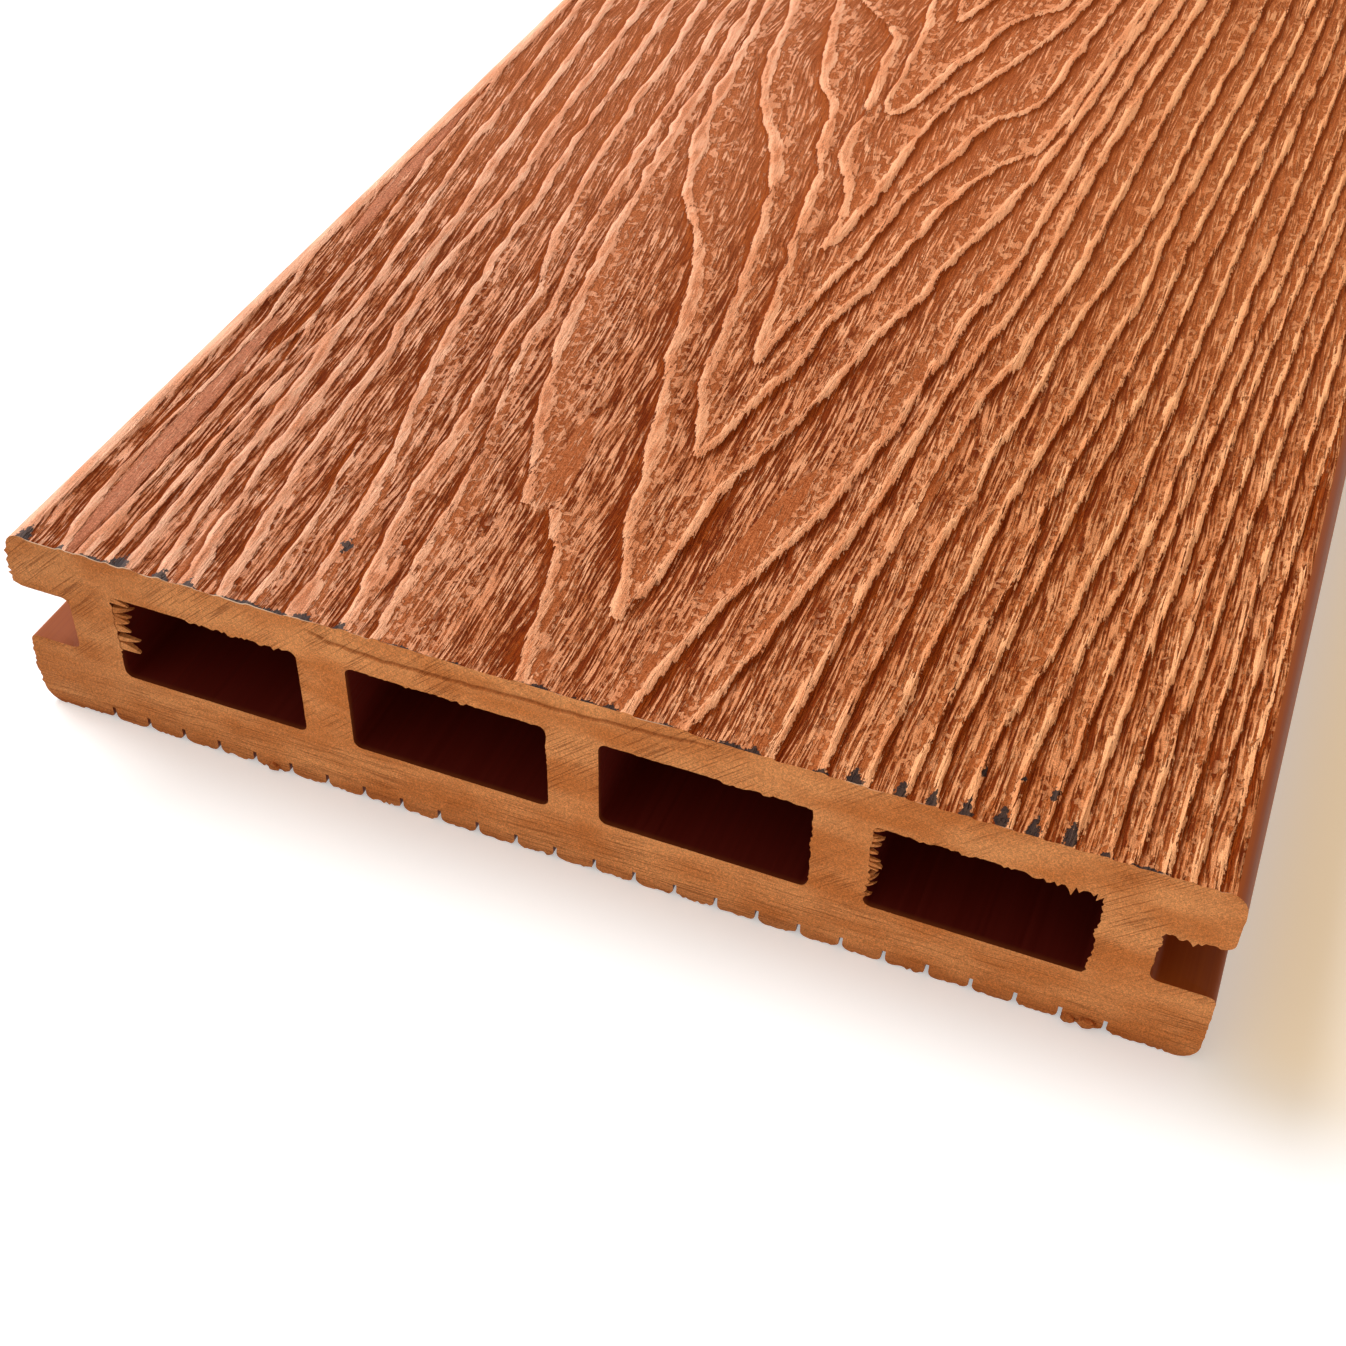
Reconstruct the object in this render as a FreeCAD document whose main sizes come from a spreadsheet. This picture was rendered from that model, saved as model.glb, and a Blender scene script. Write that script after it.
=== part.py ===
import FreeCAD, Part
import math
import os

import Sketcher

# Hollow wood-plastic decking board, extruded in one piece.
# X runs across the width, Y along the length, Z up. The middle of the underside is the origin.
# All sizes are in millimetres.

NODE = "decking_board"

DRIVING_SIZES = [
    ("board_length", 2200),
    ("board_width", 140),
    ("board_thickness", 26),
    ("top_edge_radius", 2.2),
    ("bottom_edge_radius", 2.5),
    ("clip_groove_depth", 7),
    ("clip_groove_height", 7.7),
    ("lower_lip_thickness", 10.5),
    ("groove_root_radius", 1),
    ("lip_edge_radius", 0.9),
    ("chamber_count", 4),
    ("roof_thickness", 5.4),
    ("floor_thickness", 8.3),
    ("web_thickness", 6),
    ("edge_wall_thickness", 5.8),
    ("chamber_corner_radius", 1),
    ("kerf_count", 26),
    ("kerf_width", 0.45),
    ("kerf_depth", 1.9),
    ("tooth_edge_radius", 0.8),
    ("plain_margin", 9.7),
]

# How far a cutter runs out past the face it enters.
CUTTER_OVERRUN = 3

PARALLEL_TOLERANCE = 1e-6


def make_sheet(doc):
    """The sheet of driving sizes, one named cell each."""
    sheet = doc.addObject("Spreadsheet::Sheet", "sizes")
    for row, (name, value) in enumerate(DRIVING_SIZES, start=1):
        cell = "B{}".format(row)
        sheet.set("A{}".format(row), name)
        sheet.set(cell, str(value))
        sheet.setAlias(cell, name)
    doc.recompute()
    return sheet


def origin_feature(body, role):
    """One of the body's own origin planes or axes."""
    for feature in body.Origin.OriginFeatures:
        if feature.Role == role:
            return feature
    raise RuntimeError("no origin feature " + role)


def section_sketch(body, name):
    """A sketch across the length, with its first axis along X and its second along Z."""
    sketch = body.newObject("Sketcher::SketchObject", name)
    sketch.AttachmentSupport = [(origin_feature(body, "XZ_Plane"), "")]
    sketch.MapMode = "FlatFace"
    return sketch


def flat(x, z):
    return FreeCAD.Vector(x, z, 0)


def line(start, end):
    """A straight piece of a profile."""
    return {"curve": Part.LineSegment(flat(*start), flat(*end)), "ends": (start, end), "pos": (1, 2),
            "way": [(end[0] - start[0], end[1] - start[1])] * 2}


def corner(centre, start, end):
    """A quarter round from start to end about its centre."""
    radius = math.dist(centre, start)
    spokes = [(p[0] - centre[0], p[1] - centre[1]) for p in (start, end)]
    turn = math.copysign(1, spokes[0][0] * spokes[1][1] - spokes[0][1] * spokes[1][0])
    angles = [math.atan2(s[1], s[0]) for s in spokes]
    first, last = angles if turn > 0 else reversed(angles)
    circle = Part.Circle(flat(*centre), FreeCAD.Vector(0, 0, 1), radius)
    return {"curve": Part.ArcOfCircle(circle, first, last), "ends": (start, end),
            "pos": (1, 2) if turn > 0 else (2, 1),
            "way": [(-turn * s[1], turn * s[0]) for s in spokes]}


def draw_loop(sketch, pieces):
    """Draws a closed loop, level and upright lines held so, each joint smooth where the pieces run on."""
    ids = [sketch.addGeometry(piece["curve"], False) for piece in pieces]
    for index, piece in zip(ids, pieces):
        if isinstance(piece["curve"], Part.LineSegment):
            level = abs(piece["way"][0][1]) < PARALLEL_TOLERANCE
            sketch.addConstraint(Sketcher.Constraint("Horizontal" if level else "Vertical", index))
    for step, piece in enumerate(pieces):
        after = pieces[(step + 1) % len(pieces)]
        here, there = ids[step], ids[(step + 1) % len(pieces)]
        (ax, az), (bx, bz) = piece["way"][1], after["way"][0]
        runs_on = abs(ax * bz - az * bx) < PARALLEL_TOLERANCE
        joint = "Tangent" if runs_on else "Coincident"
        sketch.addConstraint(Sketcher.Constraint(joint, here, piece["pos"][1], there, after["pos"][0]))
    return ids


def set_size(sketch, kind, place, value, expression):
    """One dimension of a sketch, bound to the sheet."""
    index = sketch.addConstraint(Sketcher.Constraint(kind, *place, value))
    sketch.setExpression("Constraints[{}]".format(index), expression)


def set_offset(sketch, kind, geometry, point, value, expression):
    """The place of a point along one axis, from the sketch's root point."""
    place = (-1, 1, geometry, point) if value >= 0 else (geometry, point, -1, 1)
    set_size(sketch, kind, place, abs(value), expression)


def rounded_box(sketch, left, right, bottom, top, low_radius, high_radius):
    """Draws a box with rounded corners. Each argument is a value and its expression."""
    x0, x1, z0, z1 = left[0], right[0], bottom[0], top[0]
    low, high = low_radius[0], high_radius[0]
    pieces = [
        line((x0 + low, z0), (x1 - low, z0)),
        corner((x1 - low, z0 + low), (x1 - low, z0), (x1, z0 + low)),
        line((x1, z0 + low), (x1, z1 - high)),
        corner((x1 - high, z1 - high), (x1, z1 - high), (x1 - high, z1)),
        line((x1 - high, z1), (x0 + high, z1)),
        corner((x0 + high, z1 - high), (x0 + high, z1), (x0, z1 - high)),
        line((x0, z1 - high), (x0, z0 + low)),
        corner((x0 + low, z0 + low), (x0, z0 + low), (x0 + low, z0)),
    ]
    floor, low_right, side, high_right, roof, high_left, far_side, low_left = draw_loop(sketch, pieces)
    if z0 == 0:
        sketch.addConstraint(Sketcher.Constraint("PointOnObject", floor, 1, -1))
    else:
        set_offset(sketch, "DistanceY", floor, 1, z0, bottom[1])
    set_offset(sketch, "DistanceX", side, 1, x1, right[1])
    set_offset(sketch, "DistanceY", roof, 1, z1, top[1])
    set_offset(sketch, "DistanceX", far_side, 1, x0, left[1])
    set_size(sketch, "Radius", (low_right,), low, low_radius[1])
    set_size(sketch, "Radius", (high_right,), high, high_radius[1])
    sketch.addConstraint(Sketcher.Constraint("Equal", low_right, low_left))
    sketch.addConstraint(Sketcher.Constraint("Equal", high_right, high_left))


def draw_outline(sketch, size):
    """The outside of the section, before the edges are grooved."""
    half = size("board_width") / 2
    rounded_box(sketch,
                (-half, "sizes.board_width / 2"),
                (half, "sizes.board_width / 2"),
                (0, "0"),
                (size("board_thickness"), "sizes.board_thickness"),
                (size("bottom_edge_radius"), "sizes.bottom_edge_radius"),
                (size("top_edge_radius"), "sizes.top_edge_radius"))


def chamber_width(size):
    """What the walls and webs leave for each chamber."""
    walls = 2 * (size("clip_groove_depth") + size("edge_wall_thickness"))
    webs = (size("chamber_count") - 1) * size("web_thickness")
    return (size("board_width") - walls - webs) / size("chamber_count")


CHAMBER_WIDTH = ("(sizes.board_width - 2 * (sizes.clip_groove_depth + sizes.edge_wall_thickness)"
                 " - (sizes.chamber_count - 1) * sizes.web_thickness) / sizes.chamber_count")
CHAMBER_OUTSIDE = "sizes.board_width / 2 - sizes.clip_groove_depth - sizes.edge_wall_thickness"


def draw_chamber(sketch, size):
    """The leftmost hollow of the section."""
    outside = size("board_width") / 2 - size("clip_groove_depth") - size("edge_wall_thickness")
    inside = outside - chamber_width(size)
    radius = (size("chamber_corner_radius"), "sizes.chamber_corner_radius")
    rounded_box(sketch,
                (-outside, CHAMBER_OUTSIDE),
                (-inside, CHAMBER_OUTSIDE + " - " + CHAMBER_WIDTH),
                (size("floor_thickness"), "sizes.floor_thickness"),
                (size("board_thickness") - size("roof_thickness"),
                 "sizes.board_thickness - sizes.roof_thickness"),
                radius, radius)


def draw_clip_groove(sketch, size):
    """The fixing clip's groove in the right edge, with rounded lips and a rounded root."""
    face = size("board_width") / 2
    root = face - size("clip_groove_depth")
    low = size("lower_lip_thickness")
    high = low + size("clip_groove_height")
    lip = size("lip_edge_radius")
    inner = size("groove_root_radius")
    out = face + CUTTER_OVERRUN
    pieces = [
        line((root + inner, low), (face - lip, low)),
        corner((face - lip, low - lip), (face - lip, low), (face, low - lip)),
        line((face, low - lip), (out, low - lip)),
        line((out, low - lip), (out, high + lip)),
        line((out, high + lip), (face, high + lip)),
        corner((face - lip, high + lip), (face, high + lip), (face - lip, high)),
        line((face - lip, high), (root + inner, high)),
        corner((root + inner, high - inner), (root + inner, high), (root, high - inner)),
        line((root, high - inner), (root, low + inner)),
        corner((root + inner, low + inner), (root, low + inner), (root + inner, low)),
    ]
    ids = draw_loop(sketch, pieces)
    floor, low_lip, low_run, outer, high_run, high_lip, roof, high_root, wall, low_root = ids
    set_offset(sketch, "DistanceY", floor, 1, low, "sizes.lower_lip_thickness")
    set_offset(sketch, "DistanceY", roof, 1, high, "sizes.lower_lip_thickness + sizes.clip_groove_height")
    set_offset(sketch, "DistanceX", wall, 1, root, "sizes.board_width / 2 - sizes.clip_groove_depth")
    set_offset(sketch, "DistanceX", low_run, 1, face, "sizes.board_width / 2")
    set_offset(sketch, "DistanceX", high_run, 2, face, "sizes.board_width / 2")
    set_size(sketch, "DistanceX", (low_run, 1, low_run, 2), CUTTER_OVERRUN, str(CUTTER_OVERRUN))
    set_size(sketch, "Radius", (low_lip,), lip, "sizes.lip_edge_radius")
    set_size(sketch, "Radius", (low_root,), inner, "sizes.groove_root_radius")
    sketch.addConstraint(Sketcher.Constraint("Equal", low_root, high_root))
    sketch.addConstraint(Sketcher.Constraint("Equal", low_lip, high_lip))
    for arc, run, point in ((low_lip, low_run, 1), (high_lip, high_run, 2)):
        sketch.addConstraint(Sketcher.Constraint("Horizontal", arc, 3, run, point))


def draw_kerf(sketch, size):
    """The leftmost of the narrow kerfs in the underside, with rounded teeth beside its mouth."""
    centre = -(size("board_width") / 2 - size("plain_margin"))
    left = centre - size("kerf_width") / 2
    right = centre + size("kerf_width") / 2
    root = size("kerf_depth")
    tooth = size("tooth_edge_radius")
    under = -CUTTER_OVERRUN
    pieces = [
        line((left, root), (left, tooth)),
        corner((left - tooth, tooth), (left, tooth), (left - tooth, 0)),
        line((left - tooth, 0), (left - tooth, under)),
        line((left - tooth, under), (right + tooth, under)),
        line((right + tooth, under), (right + tooth, 0)),
        corner((right + tooth, tooth), (right + tooth, 0), (right, tooth)),
        line((right, tooth), (right, root)),
        line((right, root), (left, root)),
    ]
    ids = draw_loop(sketch, pieces)
    left_wall, left_tooth, left_run, bottom, right_run, right_tooth, right_wall, roof = ids
    edge = "sizes.board_width / 2 - sizes.plain_margin"
    set_offset(sketch, "DistanceX", left_wall, 1, left, edge + " + sizes.kerf_width / 2")
    set_size(sketch, "DistanceX", (left_wall, 1, right_wall, 2), size("kerf_width"), "sizes.kerf_width")
    set_offset(sketch, "DistanceY", roof, 1, root, "sizes.kerf_depth")
    set_size(sketch, "DistanceY", (bottom, 1, -1, 1), CUTTER_OVERRUN, str(CUTTER_OVERRUN))
    set_size(sketch, "Radius", (left_tooth,), tooth, "sizes.tooth_edge_radius")
    sketch.addConstraint(Sketcher.Constraint("Equal", left_tooth, right_tooth))
    for arc, run, point in ((left_tooth, left_run, 1), (right_tooth, right_run, 2)):
        sketch.addConstraint(Sketcher.Constraint("PointOnObject", run, point, -1))
        sketch.addConstraint(Sketcher.Constraint("Vertical", arc, 3, run, point))


def cut_through(body, sketch, name):
    """Cuts a profile out of the board along its whole length."""
    pocket = body.newObject("PartDesign::Pocket", name)
    pocket.Profile = sketch
    pocket.SideType = "Symmetric"
    pocket.Type = "ThroughAll"
    return pocket


def repeat_across(body, cut, name, span, count):
    """Repeats a cut towards +X over a span, both bound to the sheet."""
    pattern = body.newObject("PartDesign::LinearPattern", name)
    pattern.Originals = [cut]
    pattern.Direction = (origin_feature(body, "X_Axis"), [""])
    pattern.Mode = "Extent"
    pattern.setExpression("Length", span)
    pattern.setExpression("Occurrences", count)
    body.Tip = pattern
    return pattern


def check_features(doc):
    """Stops the build at the first feature that failed."""
    for feature in doc.Objects:
        if "Invalid" in feature.State or "Error" in feature.State:
            raise RuntimeError("{} is {}".format(feature.Label, feature.State))
        if feature.isDerivedFrom("PartDesign::Feature") or feature.isDerivedFrom("PartDesign::Body"):
            if feature.Shape.isNull() or not feature.Shape.isValid():
                raise RuntimeError(feature.Label + " has no valid shape")


def check_sketches(doc):
    """Stops the build at a section that isn't fully held by its dimensions."""
    for feature in doc.Objects:
        if feature.isDerivedFrom("Sketcher::SketchObject") and feature.solve() != 0:
            raise RuntimeError(feature.Label + " does not solve")


def make_board(doc, sheet):
    """The board: one extruded bar, hollowed, grooved at both edges and combed underneath."""
    def size(name):
        return float(sheet.get(name))

    body = doc.addObject("PartDesign::Body", NODE)
    body.Label = NODE

    outline = section_sketch(body, "outline")
    draw_outline(outline, size)
    bar = body.newObject("PartDesign::Pad", "bar")
    bar.Profile = outline
    bar.SideType = "Symmetric"
    bar.setExpression("Length", "sizes.board_length")
    doc.recompute()

    chamber = section_sketch(body, "chamber_section")
    draw_chamber(chamber, size)
    chamber_cut = cut_through(body, chamber, "chamber")
    doc.recompute()
    repeat_across(body, chamber_cut, "chambers",
                  "(sizes.chamber_count - 1) * (" + CHAMBER_WIDTH + " + sizes.web_thickness)",
                  "sizes.chamber_count")
    doc.recompute()

    groove = section_sketch(body, "clip_groove_section")
    draw_clip_groove(groove, size)
    groove_cut = cut_through(body, groove, "clip_groove")
    doc.recompute()
    both_grooves = body.newObject("PartDesign::Mirrored", "clip_grooves")
    both_grooves.Originals = [groove_cut]
    both_grooves.MirrorPlane = (origin_feature(body, "YZ_Plane"), [""])
    body.Tip = both_grooves
    doc.recompute()

    kerf = section_sketch(body, "kerf_section")
    draw_kerf(kerf, size)
    kerf_cut = cut_through(body, kerf, "kerf")
    doc.recompute()
    repeat_across(body, kerf_cut, "kerfs", "sizes.board_width - 2 * sizes.plain_margin",
                  "sizes.kerf_count")
    doc.recompute()
    return body


def main():
    doc = FreeCAD.newDocument("decking")
    sheet = make_sheet(doc)
    body = make_board(doc, sheet)
    doc.recompute()
    check_sketches(doc)
    check_features(doc)
    os.makedirs("parts", exist_ok=True)
    body.Shape.exportStep("parts/{}.step".format(body.Label))


main()
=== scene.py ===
import math
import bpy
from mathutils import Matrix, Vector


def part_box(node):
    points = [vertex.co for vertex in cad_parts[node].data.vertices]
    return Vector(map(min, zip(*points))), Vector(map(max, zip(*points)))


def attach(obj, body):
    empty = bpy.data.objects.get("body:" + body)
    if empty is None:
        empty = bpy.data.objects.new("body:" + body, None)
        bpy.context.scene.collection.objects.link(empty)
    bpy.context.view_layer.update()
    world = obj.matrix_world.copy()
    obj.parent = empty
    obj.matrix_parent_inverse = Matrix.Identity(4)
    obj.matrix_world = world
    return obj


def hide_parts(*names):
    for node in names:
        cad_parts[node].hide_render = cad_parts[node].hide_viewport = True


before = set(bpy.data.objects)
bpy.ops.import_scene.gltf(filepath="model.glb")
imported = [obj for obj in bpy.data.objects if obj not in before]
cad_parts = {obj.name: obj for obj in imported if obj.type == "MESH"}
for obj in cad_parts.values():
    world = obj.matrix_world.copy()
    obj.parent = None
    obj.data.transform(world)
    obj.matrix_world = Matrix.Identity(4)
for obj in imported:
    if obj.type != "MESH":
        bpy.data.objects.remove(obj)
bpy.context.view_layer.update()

from types import SimpleNamespace

import bpy
import numpy as np
from mathutils import Matrix, Vector
from mathutils.geometry import delaunay_2d_cdt

# The decking board, dressed: one mesh with the embossed grain on top, the sawn ends and the extruded sides.
# Lengths are in millimetres until a mesh is made. "along" is the distance from the photographed sawn end.

MM = 0.001
NODE = "decking_board"
LOW, HIGH = [[v / MM for v in corner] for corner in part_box(NODE)]

# Section of the board.
HALF_WIDTH = HIGH[0]
THICKNESS = HIGH[2]
NEAR_END = LOW[1]
LENGTH = HIGH[1] - LOW[1]
TOP_EDGE_RADIUS = 2.2
TOP_EDGE_STEPS = 5
BOTTOM_EDGE_RADIUS = 2.5
BOTTOM_EDGE_STEPS = 6
SKIRT_DROP = 0.3
GROOVE_DEPTH = 7.0
GROOVE_FLOOR = 10.5
GROOVE_ROOF = 18.2
GROOVE_ROOT_RADIUS = 1.0
LIP_RADIUS = 0.9
CHAMBER_CENTRES = (-45.15, -15.05, 15.05, 45.15)
CHAMBER_WIDTH = 24.1
CHAMBER_FLOOR = 8.3
CHAMBER_ROOF = 20.6
CHAMBER_RADIUS = 1.0
KERF_COUNT = 26
KERF_EDGE = 60.3
KERF_WIDTH = 0.45
KERF_DEPTH = 1.9
TOOTH_RADIUS = 0.8
TOOTH_STEPS = 3
CRISP_ANGLE = 38.0

# Embossed grain.
RELIEF = 0.65
RIDGE_FLANK = 0.85
COLUMN_PITCH = 0.34
FAR_COLUMN_PITCH = 5.0
NEAR_ZONE = 226.0
FAR_ROW = 220.0
GRAIN_MERGE = 38.0
FAR_DEPTH = 0.2
EDGE_FADE = 0.8
# Segments of the left rounded edge in the pale ridge colour: partly brushing, partly a painted highlight
# where the window light falls.
BRUSHED_AND_HIGHLIT_OVER_LEFT = 4
GRAIN_OVER_RIGHT = 1
FAR_GAP = 14.0
EDGE_RIDGE = 1.5
BRUSHED_STRIP = -67.2
VALLEYS_FROM = -36.0
VALLEYS_TO = -48.0
GRAIN_AXIS = -4.0
POINT_SLOPE = 0.16
LINE_STEP = 4.0
FULLNESS_ACROSS = (-60.0, -25.0, -8.0, 0.0, 25.0, 60.0)
FULLNESS = (1.4, 1.2, 0.95, 0.82, 0.86, 0.95)
RUNS_ON_PAST = 120.0
FIBRE_LEANS_FOR = 150.0
FIBRE_BEND = 160.0
BROKEN_BEFORE = 32.0
FINER_LEFT = 0.33
FINER_FROM = 2.0
FINER_TO = 20.0
FINER_SIDE_FROM = 22.0
FINER_SIDE_TO = 45.0
CALMER_FROM = 45.0
CALMER_TO = 130.0
FULLER_ACROSS = (-50.0, -25.0, 20.0, 50.0)
FULLER = (0.0, 0.2, 0.2, 0.0)
STEADY_ACROSS = (5.0, 30.0)
STEADY = (1.0, 0.6)
BLUNT_END = 0.8
TAPERED_END = 7.0
LOST_DEPTH = 3.0
POINT_AHEAD = 60.0
POINT_HALF_WIDTH = 0.4
SUNKEN_LEFT = 0.55
RING_FLOOR = 0.04
RING_RISE = 0.52
LUMP_SHARE = 0.12
RELIEF_FROM = -5.0
RELIEF_FULL = 6.0

# How a line wiggles and swells on its way: the most, the pitch along it and the first seed.
WIGGLES = ((0.20, 5.0, 100), (0.10, 1.9, 300))
SWELLS = ((0.35, 9.0, 500), (0.25, 2.4, 700))

# Rows of the finely meshed end: how far they are apart at some places along it.
ROWS_AT = (0.0, 6.0, 30.0, NEAR_ZONE)
ROW_STEPS = (0.4, 0.7, 1.0, 1.7)
FAR_START = 40.0

# The lines below are set out on a plan a little long and leaning: these bring them onto the board.
PLAN_SCALE = 0.98
PLAN_SHIFT = 0.3
PLAN_LEAN = 0.004

# The near end's grain lines, given one by one: half width, then (along, across) points.
LEFT_LINES = [
    (0.42, [(0, -62.7), (10, -64.1), (20, -64.8), (40, -65.1), (50, -65.5), (60, -66.9), (70, -68.3),
            (82, -70.5)]),
    (0.42, [(0, -60.0), (20, -60.5), (40, -61.0), (50, -60.4), (60, -60.9), (70, -61.8), (80, -62.9),
            (90, -64.3), (100, -65.6), (118, -67.0), (145, -70.5)]),
    (0.50, [(0, -56.6), (10, -57.0), (30, -57.9), (40, -58.3), (50, -59.2), (59, -60.8)]),
    (0.60, [(0, -53.8), (10, -54.7), (20, -55.7), (40, -56.6), (60, -56.3), (70, -57.6), (80, -58.6),
            (90, -60.2), (100, -61.4), (118, -63.0), (150, -66.0), (185, -70.5)]),
    (0.70, [(0, -50.1), (10, -51.4), (20, -52.7), (30, -53.5), (40, -54.3), (50, -55.6), (60, -56.3)]),
    (0.70, [(0, -46.5), (10, -48.0), (20, -49.5), (30, -50.3), (50, -51.7), (70, -53.3), (90, -55.0),
            (100, -56.5), (118, -58.2), (150, -61.5), (180, -65.0)]),
    (0.75, [(0, -42.2), (10, -43.3), (20, -45.3), (40, -46.8), (50, -47.5), (60, -49.4), (80, -50.5),
            (90, -50.6), (100, -51.3), (118, -53.4), (150, -56.0), (185, -60.0)]),
    (0.45, [(0, -38.6), (12, -39.0), (25, -40.5), (38, -43.0)]),
    (0.75, [(0, -33.3), (10, -34.0), (20, -34.9), (30, -36.7), (40, -39.0), (50, -41.0), (60, -42.6),
            (70, -44.1), (80, -45.3), (90, -45.9), (100, -47.0), (118, -48.8), (150, -51.5), (190, -56.0)]),
    (0.65, [(0, -27.0), (10, -28.5), (20, -30.5), (40, -32.1), (50, -34.0), (60, -35.4), (70, -35.9),
            (80, -38.6), (90, -40.5), (100, -42.0), (118, -44.0), (150, -46.5), (190, -51.0)]),
    (0.60, [(0, -23.4), (10, -24.5), (20, -25.7), (30, -26.5), (40, -28.3), (50, -30.5), (60, -32.2),
            (70, -33.0), (80, -35.0), (90, -36.5), (100, -37.3), (118, -38.8), (150, -42.0), (190, -46.0)]),
    (0.75, [(0, -6.0), (10, -8.6), (20, -10.9), (25, -13.0), (29.5, -15.2)]),
    (1.00, [(27.6, -18.2), (30.0, -19.0), (32.4, -19.8)]),
    (0.80, [(29, -18.2), (34, -20.0), (40, -22.0), (50, -25.2), (60, -27.9), (68, -29.5), (84, -32.0),
            (97, -33.5), (110, -34.7), (118, -35.5), (150, -38.5), (190, -43.0)]),
]
RIGHT_LINES = [
    (0.70, [(0, 5.6), (10, 6.9), (20, 8.5), (30, 11.1), (40, 13.5), (50, 15.2), (60, 16.7), (70, 17.2),
            (80, 17.9), (90, 18.7), (100, 20.4), (118, 21.5), (135, 22.3), (160, 23.5), (185, 25.0)]),
    (0.70, [(0, 12.0), (10, 13.8), (20, 15.5), (30, 16.8), (40, 18.3), (50, 19.4), (60, 19.8), (70, 20.6),
            (80, 21.7), (90, 23.1), (100, 24.2), (118, 24.6), (150, 26.0), (190, 28.5)]),
    (0.60, [(0, 21.5), (10, 21.5), (20, 22.1), (40, 22.9), (60, 24.0), (70, 24.8), (80, 26.7), (90, 27.5),
            (100, 28.7), (118, 29.8), (150, 31.0), (190, 33.0)]),
    (0.55, [(0, 26.8), (10, 26.7), (30, 27.7), (40, 27.7), (50, 29.0), (60, 29.2), (70, 30.4), (90, 31.6),
            (100, 32.9), (118, 35.0), (150, 36.5), (190, 38.5)]),
    (0.55, [(0, 31.2), (20, 31.8), (40, 32.7), (60, 34.0), (70, 35.4), (90, 36.9), (100, 38.3), (118, 38.5),
            (150, 40.0), (190, 42.5)]),
    (0.45, [(0, 35.4), (20, 36.0), (30, 36.5), (40, 37.7), (50, 37.3), (60, 38.3), (90, 41.0), (118, 42.0),
            (190, 46.0)]),
    (0.45, [(0, 38.5), (10, 38.0), (20, 38.6), (35, 39.6), (50, 40.5), (80, 43.4), (118, 45.4),
            (190, 49.0)]),
    (0.50, [(0, 42.0), (10, 41.5), (20, 43.0), (30, 44.4), (40, 44.8), (50, 46.0), (70, 46.9), (90, 47.6),
            (118, 48.5), (190, 52.0)]),
    (0.50, [(0, 46.2), (10, 45.8), (20, 46.5), (30, 47.1), (40, 48.4), (50, 49.6), (70, 50.5), (118, 52.5),
            (190, 55.5)]),
    (0.45, [(0, 49.3), (30, 50.6), (45, 51.5), (60, 52.2), (80, 53.2), (118, 55.6), (190, 58.5)]),
    (0.45, [(0, 52.3), (20, 53.0), (40, 54.0), (60, 54.8), (80, 55.6), (118, 58.0), (190, 61.0)]),
    (0.40, [(0, 55.8), (20, 56.3), (40, 57.0), (60, 57.6), (80, 58.6), (118, 60.4), (190, 63.5)]),
    (0.40, [(0, 58.5), (20, 58.8), (40, 59.4), (60, 60.2), (80, 61.2), (118, 63.0), (190, 66.0)]),
    (0.40, [(0, 61.5), (20, 62.0), (40, 62.5), (60, 63.2), (80, 64.2), (118, 65.6), (190, 68.5)]),
    (0.35, [(0, 64.0), (20, 64.5), (40, 65.0), (60, 65.7), (80, 66.6), (118, 68.0)]),
    (0.35, [(0, 66.3), (20, 66.6), (40, 67.0), (60, 67.5)]),
]
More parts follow.
